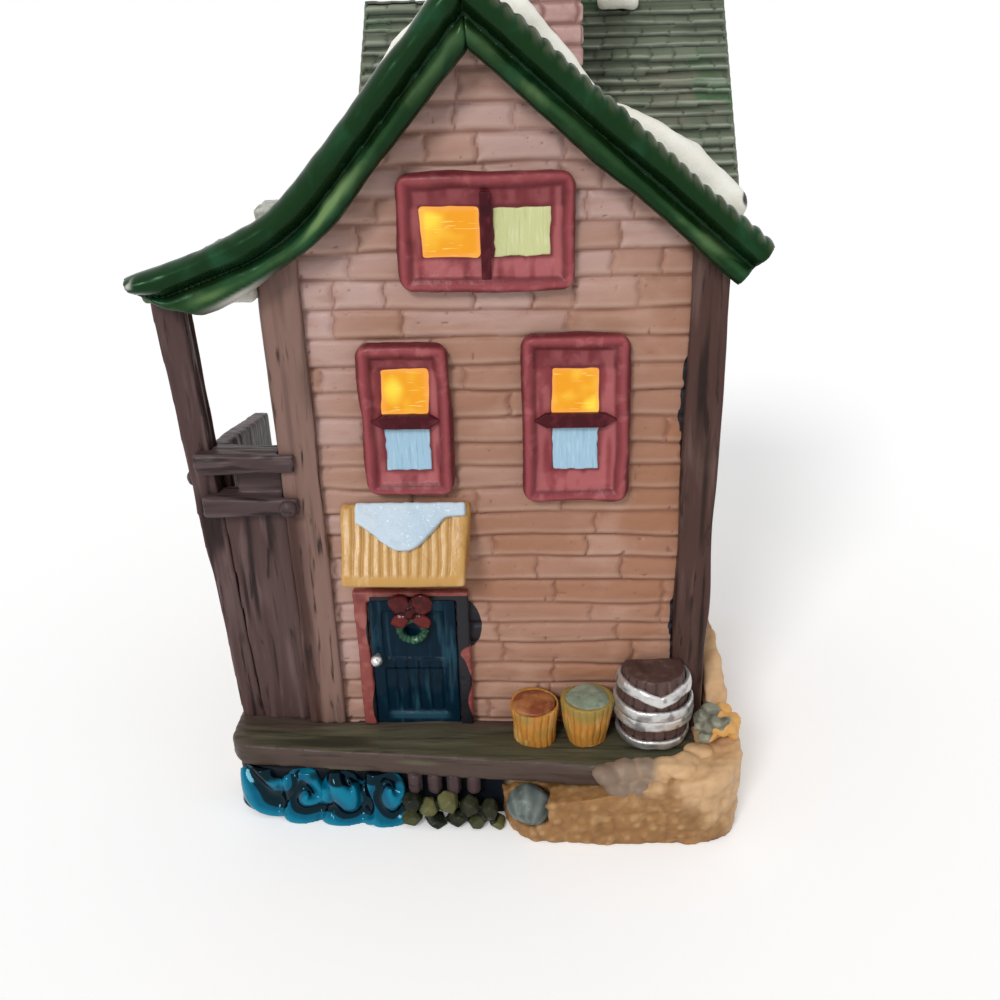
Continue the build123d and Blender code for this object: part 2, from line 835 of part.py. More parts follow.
def make_basket(offset, height):
    """A tapered basket with a rolled rim and a well for its load."""
    inner = basket_rim_radius - basket_skin
    outline = face_of((0, 0), (basket_foot_radius, 0), (basket_rim_radius, height - basket_skin),
                      (basket_rim_radius, height), (inner, height), (inner, height - basket_well),
                      (0, height - basket_well))
    return basket_place(offset) * turned_up(outline)


def make_basket_fill(offset, height):
    """The heaped load, seated in the well."""
    inner = basket_rim_radius - basket_skin
    crown = (0, height + basket_fill_rise)
    outline = make_face([
        *Polyline(crown, (0, height - basket_well), (inner, height - basket_well), (inner, height)).edges(),
        *TangentArc(crown, (inner, height), tangent=(1, 0)).edges()])
    return basket_place(offset) * turned_up(outline)


# Porch
def make_porch_post():
    """A leaning post, thicker at its head."""
    foot = Plane(origin=(-post_foot_offset, post_setback, deck_top)) * Rectangle(post_size, post_size)
    head = Plane(origin=(-post_top_offset, post_setback, ceiling_z)) * Rectangle(post_top_size, post_top_size)
    return loft([foot, head])


def boarded_panel(width, height):
    """A boarded half wall in (X, Z) with upright grooves on its face at Y = 0."""
    count = max(round(width / panel_board), 1)
    points = [(width, panel_thickness), (0, panel_thickness), (0, 0)]
    for index in range(1, count):
        place = width * index / count
        points += [(place - panel_groove / 2, 0), (place, panel_groove), (place + panel_groove / 2, 0)]
    points.append((width, 0))
    return between_z(face_of(*points), 0, height)


def right_of_post():
    """The space between the leaning post and the house."""
    outline = face_of((-post_foot_offset, deck_top), (-post_top_offset, ceiling_z),
                      (0, ceiling_z), (0, deck_top))
    return between_y(outline, -far, far) - make_porch_post()


panel_end = -half - corner_board_thickness


def make_porch_front_panel():
    panel = boarded_panel(panel_end + post_top_offset, panel_height)
    return Pos(-post_top_offset, panel_setback, deck_top) * panel & right_of_post()


def make_porch_side_panel():
    """The half wall that runs back from the front one."""
    run = porch_depth - panel_setback - panel_thickness
    panel = Rot(0, 0, -90) * boarded_panel(run, porch_rail_height)
    panel = Pos(-post_foot_offset - panel_thickness / 2, porch_depth, deck_top) * panel
    return panel - make_porch_post()


def make_porch_rail():
    """Two bars that lap the corner board, with a block between them."""
    lap = -corner_board_thickness
    back = panel_setback + panel_thickness
    low = deck_top + panel_height
    high = deck_top + porch_rail_height - rail_size
    rail = Part()
    for foot in (low, high):
        bar = block(-post_top_offset, rail_lap - half, lap - rail_proud, lap, foot, foot + rail_size)
        bar = fillet(bar.faces().sort_by(Axis.Y)[0].edges(), rail_round)
        rail += bar + block(-post_top_offset, panel_end, lap, back, foot, foot + rail_size)
    rail += block(panel_end - rail_block_width, panel_end, panel_setback, back, low + rail_size, high)
    return rail & right_of_post()


def make_porch_pegs():
    """Round peg ends: one on the rail and one on the post's outer side."""
    dome = Sphere(peg_radius) & block(-far, far, -far, far, 0, far)
    squash = peg_reach / peg_radius
    dome = scale(dome, by=(1, 1, squash))
    rail_peg = Pos(rail_lap - half - peg_radius, -corner_board_thickness - rail_proud,
                   deck_top + panel_height + rail_size / 2) * Rot(90, 0, 0) * dome
    height = (panel_height + porch_rail_height) / 2
    climb = height / porch_ceiling_rise
    lean = (post_top_offset - post_foot_offset) * climb
    spread = (post_top_size - post_size) / 2 * climb
    post_peg = Pos(-post_foot_offset - lean - post_size / 2 - spread, post_setback,
                   deck_top + height) * Rot(0, -90, 0) * dome
    return Part() + [rail_peg, post_peg - make_porch_post()]


# Ground
base_plan = make_face(FilletPolyline(
    (left_edge, -base_front_reach), (right_edge, -base_front_reach),
    (right_edge, wing_back + base_back_reach),
    (left_edge, wing_back + base_back_reach), radius=base_corner_radius, close=True))
base_block = between_z(base_plan, 0, base_height)
house_block = block(-half, half, 0, wing_back, 0, tall)


def make_ground_base():
    """A hollow slab: skin on top and all round, open below and under the rooms."""
    hollow = between_z(offset(base_plan, -base_skin), 0, base_height - base_skin)
    rooms = block(-inner_half, inner_half, wall_thickness, front_block_depth - wall_thickness, 0, tall)
    rooms += block(wing_x + wall_thickness, inner_half, wall_thickness, wing_back - wall_thickness, 0, tall)
    return base_block - hollow - rooms


deck_right = half - deck_right_inset
deck_skew = degrees(atan2(deck_front_right - deck_front_left, deck_right - left_edge))


def make_boardwalk_deck():
    """A planked strip along the front that turns under the porch."""
    outline = FilletPolyline(
        (left_edge, porch_depth), (left_edge, -deck_front_left), (deck_right, -deck_front_right),
        (deck_right, porch_depth), radius=deck_corner_radius, close=True)
    deck = between_z(make_face(outline), base_height, deck_top)
    groove = Rot(45, 0, 0) * Box(2 * far, plank_groove, plank_groove)
    for row in range(1, int(deck_front_right / plank_width)):
        place = Pos(deck_right, row * plank_width - deck_front_right, deck_top)
        deck -= place * Rot(0, 0, -deck_skew) * groove
    return deck - house_block - make_corner_board(1)


def make_deck_piles():
    """Short stubs under the deck, above the stones."""
    pile = Pos(0, 0, base_height - pile_height) * Cylinder(
        pile_radius, pile_height, align=(Align.CENTER, Align.CENTER, Align.MIN))
    piles = []
    for index in range(pile_count):
        piles.append(Pos(index * pile_pitch - door_offset, -base_front_reach - pile_setback, 0) * pile)
    return Part() + piles


def ground_lump(width, depth, height, x, y, z):
    """A rounded lump cut off at the table."""
    lump = Pos(x, y, z) * scale(Sphere(width), by=(1, depth / width, height / width))
    return lump - block(-far, far, -far, far, -far, 0)


def make_water_waves():
    """A swell in front of the base, one crest for each wave."""
    swell = Part()
    for index in range(wave_count):
        middle = left_edge + water_inset + wave_width * (index + 1 / 2)
        crest = water_height * wave_height_shares[index % len(wave_height_shares)]
        width = wave_width * wave_overlap_share
        reach = water_reach * wave_reach_shares[index % len(wave_reach_shares)]
        swell += ground_lump(width, reach, crest, middle, -base_front_reach, 0)
    return swell - block(-far, far, -base_front_reach, far, 0, tall)


boulder = ground_lump(boulder_width / 2, boulder_depth / 2, boulder_height / 2,
                      boulder_offset, -boulder_setback, boulder_lift)
stone_first = left_edge + water_inset + (wave_count + wave_overlap_share / 2) * wave_width


def make_shore_rocks():
    """Stones against the front of the base and a boulder in the sand, each a separate lump."""
    stones = [boulder]
    for index in range(stone_count):
        stone = ground_lump(stone_width / 2, stone_reach, stone_height,
                            stone_first + (index + 1 / 2) * stone_pitch, -base_front_reach, 0)
        half_pitch = stone_pitch / 2 - seat_gap / 2
        middle = stone_first + (index + 1 / 2) * stone_pitch
        stone &= block(middle - half_pitch, middle + half_pitch, -far, -base_front_reach, 0, tall)
        stones.append(stone)
    return Part() + stones


sand_outer = right_edge + sand_side_reach
sand_start = stone_first + stone_count * stone_pitch + seat_gap


def make_sand_bank():
    """Sand in front of the base that rises past the end of the deck and turns the right corner."""
    front = -base_front_reach - sand_reach
    plan = FilletPolyline((sand_start, front), (sand_outer, front), (sand_outer, far), (sand_start, far),
                          radius=sand_corner_radius, close=True)
    top = face_of((sand_start, 0), (sand_outer, 0), (sand_outer, sand_high), (sand_start, sand_low))
    bank = between_z(make_face(plan), 0, tall) & between_y(top, front, -sand_depth)
    room = ground_lump(boulder_width / 2 + seat_gap, boulder_depth / 2 + seat_gap,
                       boulder_height / 2 + seat_gap, boulder_offset, -boulder_setback, boulder_lift)
    return bank - base_block - room - deck_solid - make_corner_board(1)


deck_solid = make_boardwalk_deck()
sand_solid = make_sand_bank()


def make_sand_dune():
    """The drift that leans on the right wall behind the corner board."""
    wall = half + corner_board_thickness + seat_gap
    across = face_of((wall, 0), (sand_outer, 0), (sand_outer, base_height), (wall + dune_shoulder, deck_top),
                     (wall + dune_crest, base_height + dune_rise), (wall, base_height + dune_rise))
    back = dune_length - sand_depth
    along = face_of((-sand_depth, 0), (back, 0), (back - dune_ramp, base_height + dune_rise),
                    (dune_ramp, base_height + dune_rise), (-sand_depth, sand_high))
    return (between_y(across, -sand_depth, back) & between_x(along, 0, far)) - base_block


def make_shore_plant():
    dome = ground_lump(plant_radius, plant_radius, plant_height, 0, 0, 0)
    place = Pos(deck_right + plant_radius + seat_gap, -base_front_reach / 2 - sand_depth,
                base_height + plant_lift)
    return place * dome - sand_solid - deck_solid - make_corner_board(1)


# Lamp: drawn about its own axis, with Y measured from the back wall's outer face
def make_lamp_socket():
    mouth = -socket_reach
    bottom = mouth + socket_bore_depth
    bore = cap_radius + cap_fit
    outline = face_of(
        (0, bottom), (bore, bottom), (bore, mouth), (socket_radius, mouth), (socket_radius, 0),
        (flange_radius, 0),
        (flange_radius, flange_thickness), (tail_radius, flange_thickness),
        (tail_end_radius, flange_thickness + tail_length), (inlet_radius, flange_thickness + tail_length),
        (inlet_radius, flange_thickness + tail_length - inlet_depth),
        (0, flange_thickness + tail_length - inlet_depth))
    return lamp_place * turned_back(outline)


lamp_place = Pos(lamp_x, wing_back, lamp_height)


def make_spring_clip():
    """A band round the socket with two sprung arms that bear on the hole."""
    inner = socket_radius + clip_clearance
    band_front = -socket_reach + clip_thickness
    band_back = band_front + clip_band
    band = turned_back(face_of((inner, band_front), (inner + clip_thickness, band_front),
                               (inner + clip_thickness, band_back), (inner, band_back)))
    bow = lamp_hole_radius - clip_hole_clearance
    tip = -clip_thickness
    waist = -wall_thickness
    outer = [(inner + clip_thickness, band_front), (bow, waist), (bow, waist / 2)]
    outer += [(inner + 2 * clip_thickness, tip)]
    under = [(x - clip_thickness, y) for x, y in outer]
    under[0] = (inner + clip_clearance, band_front)
    arm = extrude(face_of(*outer, *reversed(under)), amount=clip_width / 2, both=True)
    for turn in (90, 270):
        band += Rot(0, turn, 0) * arm
    return lamp_place * band


def make_bulb_cap():
    mouth = -socket_reach
    back = mouth + cap_length
    skin = glass_skin
    outline = face_of((cap_radius, mouth - skin), (cap_radius, back), (0, back), (0, back - skin),
                      (cap_radius - skin, back - skin), (cap_radius - skin, mouth - skin))
    return lamp_place * turned_back(outline)


def make_bulb_contact():
    back = -socket_reach + cap_length
    outline = face_of((0, back), (contact_radius, back),
                      (contact_radius * contact_taper_share, back + contact_length),
                      (0, back + contact_length))
    return lamp_place * turned_back(outline)


def glass_body(skin):
    """Flame shape about the lamp axis: neck, belly and rounded tip, moved in by a skin."""
    rim = -socket_reach - glass_skin
    belly = rim - glass_neck_length - glass_radius * belly_share
    tip = rim - glass_length + skin
    neck = (glass_neck_radius - skin, rim - glass_neck_length / 2)
    swell = (glass_radius - skin, belly)
    shoulder = (glass_tip_radius, tip + glass_tip_radius / 2)
    flank = ((glass_radius + glass_tip_radius) * flame_share - skin, (belly + shoulder[1]) / 2)
    return turned_back(make_face([
        *Polyline((0, tip), (0, rim), (glass_neck_radius - skin, rim), neck).edges(),
        *TangentArc(neck, swell, tangent=(0, -1)).edges(),
        *ThreePointArc(swell, flank, shoulder).edges(),
        *Line(shoulder, (0, tip)).edges()]))


def make_bulb_glass():
    return lamp_place * (glass_body(0) - glass_body(glass_skin))


def make_bulb_filament():
    """Two leads from the cap joined by a bowed wire."""
    low = -socket_reach + cap_length - glass_skin
    high = -socket_reach - glass_skin - filament_reach
    path = Polyline((-filament_spread, low), (-filament_spread, high))
    bow = ThreePointArc((-filament_spread, high), (0, high - filament_spread), (filament_spread, high))
    back = Polyline((filament_spread, high), (filament_spread, low))
    wire = Wire([*path.edges(), *bow.edges(), *back.edges()])
    start = Plane(origin=wire @ 0, z_dir=wire % 0)
    return lamp_place * sweep(start * Circle(filament_radius), path=wire)


pieces = {
    "ground_base": make_ground_base(),
    "boardwalk_deck": deck_solid,
    "deck_piles": make_deck_piles(),
    "water_waves": make_water_waves(),
    "shore_rocks": make_shore_rocks(),
    "sand_bank": sand_solid,
    "sand_dune": make_sand_dune(),
    "shore_plant": make_shore_plant(),
    "front_wall": make_front_wall(),
    "left_wall": make_left_wall(),
    "right_wall": make_right_wall(),
    "back_left_wall": make_back_left_wall(),
    "wing_left_wall": make_wing_left_wall(),
    "wing_back_wall": make_wing_back_wall(),
    "corner_board_left": make_corner_board(-1),
    "corner_board_right": make_corner_board(1),
    "porch_ceiling": make_porch_ceiling(),
    "front_roof_left": make_front_roof_left(),
    "front_roof_right": make_front_roof_right(),
    "wing_roof_left": make_wing_roof_front(-1),
    "wing_roof_right": make_wing_roof_front(1),
    "wing_roof_back": make_wing_roof_back(),
    "bargeboard_left": make_bargeboard(-1),
    "bargeboard_right": make_bargeboard(1),
    "brick_chimney": make_brick_chimney(),
    "stone_stack": make_stone_stack(),
    "snow_front_slope": make_snow_front_slope(),
    "snow_valley": make_snow_valley(),
    "snow_ridge": make_snow_ridge(),
    "snow_rim": make_snow_rim(),
    "door_frame": make_door_frame(),
    "door_leaf": make_door_leaf(),
    "door_knob": make_door_knob(),
    "door_wreath": make_door_wreath(),
    "wreath_bow": make_wreath_bow(),
    "awning": make_awning(),
    "awning_snow": make_awning_snow(),
    "barrel": make_barrel(),
    "barrel_hoops": make_barrel_hoops(),
    "small_basket": make_basket(small_basket_offset, small_basket_height),
    "small_basket_fill": make_basket_fill(small_basket_offset, small_basket_height),
    "large_basket": make_basket(large_basket_offset, large_basket_height),
    "large_basket_fill": make_basket_fill(large_basket_offset, large_basket_height),
    "porch_post": make_porch_post(),
    "porch_front_panel": make_porch_front_panel(),
    "porch_side_panel": make_porch_side_panel(),
    "porch_rail": make_porch_rail(),
    "porch_pegs": make_porch_pegs(),
    "lamp_socket": make_lamp_socket(),
    "spring_clip": make_spring_clip(),
    "bulb_glass": make_bulb_glass(),
    "bulb_cap": make_bulb_cap(),
    "bulb_contact": make_bulb_contact(),
    "bulb_filament": make_bulb_filament(),
}
for name in ("left", "right", "upper"):
    pieces[f"{name}_window_frame"] = make_window_frame(name)
    pieces[f"{name}_film_pane"] = make_film_pane(name)

boxes = [piece.bounding_box() for piece in pieces.values()]
middle_x = (min(box.min.X for box in boxes) + max(box.max.X for box in boxes)) / 2
middle_y = (min(box.min.Y for box in boxes) + max(box.max.Y for box in boxes)) / 2
centred = Pos(-middle_x, -middle_y, 0)
os.makedirs("parts", exist_ok=True)
for name, piece in pieces.items():
    export_step(centred * piece, f"parts/{name}.step")
print("moved by", centred.position)
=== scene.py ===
import itertools
import math

import bmesh
import bpy
import numpy as np
from mathutils import Matrix, Vector


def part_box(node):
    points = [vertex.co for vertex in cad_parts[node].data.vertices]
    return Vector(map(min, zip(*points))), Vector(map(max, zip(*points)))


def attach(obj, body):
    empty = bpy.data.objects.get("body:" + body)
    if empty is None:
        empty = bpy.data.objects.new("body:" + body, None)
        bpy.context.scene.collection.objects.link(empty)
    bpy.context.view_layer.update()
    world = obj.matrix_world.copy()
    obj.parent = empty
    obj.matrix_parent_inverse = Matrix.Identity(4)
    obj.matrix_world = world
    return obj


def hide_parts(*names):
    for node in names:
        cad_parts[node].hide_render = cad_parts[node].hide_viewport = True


# A painted ceramic house, dressed over its solids: each piece is a soft, hand-carved copy of
# its solid with brushed glaze colours. Shapes are worked in house millimetres: X from the
# middle of the front wall, Y back from its face, Z up from the top of the deck.
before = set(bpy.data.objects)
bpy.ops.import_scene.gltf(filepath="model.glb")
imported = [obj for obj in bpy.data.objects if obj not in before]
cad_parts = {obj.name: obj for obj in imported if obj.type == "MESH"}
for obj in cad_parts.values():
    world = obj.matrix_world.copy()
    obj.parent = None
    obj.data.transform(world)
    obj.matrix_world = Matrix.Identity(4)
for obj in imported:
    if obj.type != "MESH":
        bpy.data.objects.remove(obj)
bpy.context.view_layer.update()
scene = bpy.context.scene
MM = 0.001
GOLDEN_ANGLE = math.pi * (3 - math.sqrt(5))
wall_low, wall_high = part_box("front_wall")
deck_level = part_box("boardwalk_deck")[1].z
origin = Vector(((wall_low.x + wall_high.x) / 2, wall_low.y, deck_level))
TO_MM = Matrix.Scale(1 / MM, 4) @ Matrix.Translation(-origin)
FROM_MM = Matrix.Translation(origin) @ Matrix.Scale(MM, 4)


def span(node):
    """Lowest and highest corner of a solid in house millimetres."""
    low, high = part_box(node)
    return np.array(TO_MM @ low), np.array(TO_MM @ high)


# Patterns for carving, over points in millimetres
def lattice_value(cells, seed):
    """A fixed pseudo-random number from -1 to 1 for each whole-numbered cell."""
    mixed = cells[..., 0] * 73856093 ^ cells[..., 1] * 19349663 ^ cells[..., 2] * 83492791 ^ seed * 40503
    mixed = (mixed ^ (mixed >> 13)) * 1274126177 & 0xFFFFFFFF
    mixed = (mixed ^ (mixed >> 16)) & 0xFFFF
    return mixed / 32767.5 - 1


def cells_of(points, size):
    """Points in units of cells of a given size, or sizes along X, Y and Z, and their cells."""
    place = points / np.asarray(size, float)
    return place, np.floor(place).astype(np.int64)


def lumps(points, size, seed):
    """Smooth noise from -1 to 1 with lumps of a given size, or sizes along X, Y and Z."""
    place, base = cells_of(points, size)
    part = place - base
    part = part * part * (3 - 2 * part)
    total = np.zeros(len(points))
    for corner in itertools.product((0, 1), repeat=3):
        weight = np.prod(np.where(corner, part, 1 - part), axis=1)
        total += weight * lattice_value(base + np.array(corner), seed)
    return total


def pebbles(points, size, seed):
    """Distance to the nearest and second nearest of scattered seeds, in cells."""
    place, base = cells_of(points, size)
    nearest, second = np.full((2, len(points)), np.inf)
    for step in itertools.product((-1, 0, 1), repeat=3):
        corner = base + np.array(step)
        offsets = [lattice_value(corner, seed + axis) for axis in range(3)]
        middle = corner + 0.5 + 0.4 * np.stack(offsets, axis=1)
        distance = np.linalg.norm(place - middle, axis=1)
        second = np.minimum(second, np.maximum(nearest, distance))
        nearest = np.minimum(nearest, distance)
    return nearest, second


def ramp(value, low, high):
    """0 below low and 1 above high, or the other way round if low is the larger."""
    part = np.clip((value - low) / (high - low), 0, 1)
    return part * part * (3 - 2 * part)


def bell(value, width):
    """1 where a value is 0, falling off over a width on both sides."""
    return np.exp(-((value / width) ** 2))


# Pieces
def mesh_of(shape):
    """The mesh of a bmesh, which is freed."""
    mesh = bpy.data.meshes.new("shape")
    shape.to_mesh(mesh)
    shape.free()
    return mesh


def vectors(items, key):
    values = np.empty(len(items) * 3, np.float32)
    items.foreach_get(key, values)
    return values.reshape(-1, 3).astype(float)


class Skin:
    """A piece while it is worked: an even, closed skin over a solid or a mesh, smoothed soften times.
    x, y and z are views of its points; the normals stay those of the unworked skin."""

    def __init__(self, source, voxel, soften):
        if isinstance(source, str):
            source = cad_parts[source].data.copy()
            source.transform(TO_MM)
        work = bpy.data.objects.new("work", source)
        scene.collection.objects.link(work)
        even = work.modifiers.new("skin", "REMESH")
        even.mode = "VOXEL"
        even.voxel_size = voxel
        rounding = work.modifiers.new("rounding", "SMOOTH")
        rounding.factor = 0.5
        rounding.iterations = soften
        evaluated = work.evaluated_get(bpy.context.evaluated_depsgraph_get())
        self.mesh = bpy.data.meshes.new_from_object(evaluated)
        bpy.data.objects.remove(work)
        self.points = vectors(self.mesh.vertices, "co")
        self.normals = vectors(self.mesh.vertex_normals, "vector")
        self.x, self.y, self.z = self.points.T

    def lumps(self, size, seed):
        return lumps(self.points, size, seed)

    def push(self, amount):
        """Moves points out along their normals."""
        self.points += self.normals * amount[:, None]

    def front(self, low, high):
        """1 on faces towards the front."""
        return ramp(-self.normals[:, 1], low, high)

    def inset(self, low, high):
        """How far points lie inside a rectangle in X and Z."""
        return np.minimum(np.minimum(self.x - low[0], high[0] - self.x),
                          np.minimum(self.z - low[2], high[2] - self.z))

    def piece(self, name, slot, glaze, nodes=(), wash_and_shade=0, tone=0.5, crest=0, spill=0, body="house"):
        """Stores how each point is painted (wash: darker paint and painted shade in hollows; tone; crest:
        lighter paint and painted highlight; and spilt colour), places the piece, rides it on a body and gives
        it its finish."""
        self.mesh.vertices.foreach_set("co", self.points.astype(np.float32).ravel())
        coats = np.empty((len(self.points), 4), np.float32)
        for index, coat in enumerate((wash_and_shade, tone, crest, spill)):
            coats[:, index] = np.clip(coat, 0, 1)
        attribute = self.mesh.attributes.new("paint", "FLOAT_COLOR", "POINT")
        attribute.data.foreach_set("color", coats.ravel())
        self.mesh.transform(FROM_MM)
        self.mesh.update()
        self.mesh.materials.clear()
        self.mesh.materials.append(glaze.material)
        self.mesh.shade_smooth()
        shown = bpy.data.objects.new(name, self.mesh)
        scene.collection.objects.link(shown)
        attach(shown, body)
        if nodes:
            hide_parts(*nodes)


# Glazes
class Nodes:
    """A shader tree whose nodes are made together with their inputs."""

    def __init__(self, tree):
        self.tree = tree

    def put(self, socket, value):
        """Links an output to a socket, or sets a constant on it."""
        if isinstance(value, bpy.types.NodeSocket):
            self.tree.links.new(value, socket)
        else:
            socket.default_value = value

    def fill(self, node, **inputs):
        """Puts values into inputs, named with _ for a space."""
        for name, value in inputs.items():
            self.put(node.inputs[name.replace("_", " ")], value)

    def node(self, kind, settings=None, **inputs):
        made = self.tree.nodes.new("ShaderNode" + kind)
        for key, value in (settings or {}).items():
            setattr(made, key, value)
        self.fill(made, **inputs)
        return made

    def maths(self, operation, *values):
        made = self.node("Math", {"operation": operation})
        for socket, value in zip(made.inputs, values):
            self.put(socket, value)
        return made.outputs["Value"]

    def between(self, value, low, high):
        """Runs from low to high as a value runs from 0 to 1."""
        return self.node("MapRange", Value=value, To_Min=low, To_Max=high).outputs["Result"]

    def seen(self):
        """1 for rays that show the background: straight, mirrored or through glass."""
        rays = self.node("LightPath").outputs
        shiny = self.maths("MAXIMUM", rays["Is Glossy Ray"], rays["Is Transmission Ray"])
        return self.maths("MAXIMUM", rays["Is Camera Ray"], shiny)


class Glaze(Nodes):
    """One painted finish, built coat by coat over a base colour. Sizes and depths are in millimetres."""

    def __init__(self, name, colour, roughness, specular=0.3, tint=(1, 1, 1), **inputs):
        self.material = bpy.data.materials.new(name)
        self.material.use_nodes = True
        super().__init__(self.material.node_tree)
        self.shader = self.tree.nodes["Principled BSDF"]
        self.painted = (*colour, 1)
        self.fill(self.shader, Base_Color=self.painted, Roughness=roughness, Specular_IOR_Level=specular,
                  Specular_Tint=(*tint, 1), **inputs)
        self.place = self.node("TexCoord").outputs["Object"]

    def noise(self, size, detail=3.0, stretch=(1, 1, 1), warp=0.0):
        """Noise whose features have a size, drawn out along the axes by stretch."""
        mapping = self.node("Mapping", Vector=self.place, Scale=[1 / (size * MM * part) for part in stretch])
        return self.node("TexNoise", Vector=mapping.outputs["Vector"], Scale=1.0, Detail=detail,
                         Distortion=warp).outputs["Fac"]

    def channel(self, name):
        """One coat of the stored paint: wash (darker paint and painted shade), tone, crest (lighter paint and
        painted highlight) or spill.
        """
        attribute = self.node("Attribute", {"attribute_name": "paint"})
        if name == "spill":
            return attribute.outputs["Alpha"]
        parts = self.node("SeparateColor", Color=attribute.outputs["Color"])
        return parts.outputs[("wash_and_shade", "tone", "crest").index(name)]

    def ramp(self, value, low, high):
        """0 below low and 1 above high, or the other way round if low is the larger."""
        return self.node("MapRange", {"interpolation_type": "SMOOTHSTEP"}, From_Min=low, From_Max=high,
                         Value=value).outputs["Result"]

    def over(self, colour, factor, share=1.0):
        """Brushes a share of a colour over the coats so far."""
        if share != 1.0:
            factor = self.maths("MULTIPLY", factor, share)
        mix = self.node("Mix", {"data_type": "RGBA"})
        under, upper = [socket for socket in mix.inputs if socket.type == "RGBA"]
        self.put([socket for socket in mix.inputs if socket.type == "VALUE"][0], factor)
        self.put(under, self.painted)
        self.put(upper, (*colour, 1))
        self.painted = [socket for socket in mix.outputs if socket.type == "RGBA"][0]
        self.fill(self.shader, Base_Color=self.painted)

    def coat(self, colour, channel, share=1.0, limits=None):
        """A colour over the points where a channel of the stored paint is strong."""
        factor = self.channel(channel)
        self.over(colour, self.ramp(factor, *limits) if limits else factor, share)

    def marks(self, colour, size, limits, share=1.0, detail=3.0, stretch=(1, 1, 1), warp=0.0):
        """A colour in marks where noise passes the limits."""
        self.over(colour, self.ramp(self.noise(size, detail, stretch, warp), *limits), share)

    def gloss(self, low, high, size, detail=3.0):
        """Roughness that runs from low to high in patches."""
        self.fill(self.shader, Roughness=self.between(self.noise(size, detail), low, high))

    def relief(self, depth, size, detail=3.0, stretch=(1, 1, 1)):
        """Bumps of a depth."""
        bump = self.node("Bump", Strength=1.0, Distance=depth * MM, Height=self.noise(size, detail, stretch))
        self.fill(self.shader, Normal=bump.outputs["Normal"])


def timber_glaze(name, body, pale, dark, faded, grain):
    """Brown paint with streaks along a grain, given as how far marks are drawn out along X, Y and Z."""
    glaze = Glaze(name, body, 0.4, specular=0.16)
    glaze.marks(pale, 2.0, (0.5, 0.75), 0.8, 4, grain, 0.4)
    glaze.coat(pale, "tone", 0.6, (0.5, 1.0))
    glaze.coat(faded, "spill", 0.85, (0.1, 0.9))
    glaze.marks(dark, 1.3, (0.56, 0.7), 0.85, 3, grain, 0.6)
    glaze.coat(pale, "crest", 0.7)
    # Dark grain streaks, and painted shade on faces turned away from the key light where a piece asks for it.
    glaze.coat(dark, "wash_and_shade", 0.9)
    glaze.gloss(0.28, 0.5, 3.0)
    glaze.relief(0.15, 0.9, 3, grain)
    return glaze


def snow_glaze(name, body, cool, speckle):
    glaze = Glaze(name, body, 0.5)
    glaze.marks(cool, 7.0, (0.42, 0.7), 0.8, 4)
    glaze.marks(speckle, 0.55, (0.6, 0.75), detail=2)
    glaze.coat(cool, "wash_and_shade", 0.8)
    glaze.coat((0.012, 0.01, 0.01), "spill")
    glaze.relief(0.1, 0.5)
    return glaze


def brushed(name, body, pale, dark, roughness=0.38, grain=(1, 1, 1), size=2.4, specular=0.3):
    """Paint with lighter and darker brush marks, darker paint and painted shade in the hollows, and lighter
    paint and painted highlight on crests.
    """
    glaze = Glaze(name, body, roughness, specular)
    glaze.marks(pale, size, (0.5, 0.74), 0.7, 4, grain, 0.4)
    glaze.marks(dark, size * 1.7, (0.54, 0.76), 0.6, 4, grain, 0.4)
    glaze.coat(pale, "crest", 0.8)
    glaze.coat(dark, "wash_and_shade", 0.95)
    glaze.gloss(roughness * 0.75, roughness * 1.3, size * 2)
    glaze.relief(0.1, size * 0.4, 3, grain)
    return glaze


def blind_glaze(name, body, pale, dark):
    """A painted pane with upright brush strokes."""
    glaze = Glaze(name, body, 0.34)
    glaze.marks(pale, 0.5, (0.5, 0.7), 0.7, 3, (1, 1, 9))
    glaze.marks(dark, 0.6, (0.56, 0.7), 0.6, 2, (1, 1, 14))
    glaze.relief(0.06, 0.4, 2, (1, 1, 8))
    return glaze


siding = Glaze("siding glaze", (0.355, 0.188, 0.128), 0.42, specular=0.25)
siding.coat((0.49, 0.325, 0.29), "tone", limits=(0.45, 0.9))
siding.coat((0.32, 0.14, 0.072), "tone", limits=(0.5, 0.0))
siding.marks((0.5, 0.31, 0.24), 14, (0.5, 0.75), 0.5, 4)
siding.marks((0.31, 0.15, 0.095), 3.0, (0.5, 0.75), 0.45, 5, (4, 4, 1))
siding.marks((0.25, 0.11, 0.075), 0.8, (0.66, 0.8), 0.7, 2)
# A painted highlight along the lower edge of each board, then darker paint and painted shade in the grooves,
# then stray black paint.
siding.coat((0.58, 0.4, 0.32), "crest", 0.5)
siding.coat((0.19, 0.075, 0.048), "wash_and_shade", 0.8, (0.1, 0.95))
siding.coat((0.012, 0.01, 0.014), "spill", limits=(0.45, 0.6))
siding.gloss(0.32, 0.55, 2.0)
siding.relief(0.12, 1.1, 4, (3, 3, 1))

UPRIGHT_GRAIN = (1, 1, 9)
LEVEL_GRAIN = (9, 1, 1)
timber = timber_glaze("timber glaze", (0.07, 0.034, 0.028), (0.13, 0.077, 0.066), (0.017, 0.009, 0.007),
                      (0.25, 0.15, 0.122), UPRIGHT_GRAIN)
porch_paint = timber_glaze("porch glaze", (0.078, 0.044, 0.041), (0.145, 0.094, 0.09), (0.018, 0.01, 0.01),
                           (0.145, 0.094, 0.09), UPRIGHT_GRAIN)
rail_paint = timber_glaze("rail glaze", (0.066, 0.04, 0.041), (0.125, 0.086, 0.086), (0.018, 0.012, 0.013),
                          (0.13, 0.08, 0.074), LEVEL_GRAIN)
deck_paint = timber_glaze("deck glaze", (0.074, 0.07, 0.041), (0.125, 0.116, 0.074), (0.036, 0.034, 0.022),
                          (0.08, 0.048, 0.042), LEVEL_GRAIN)

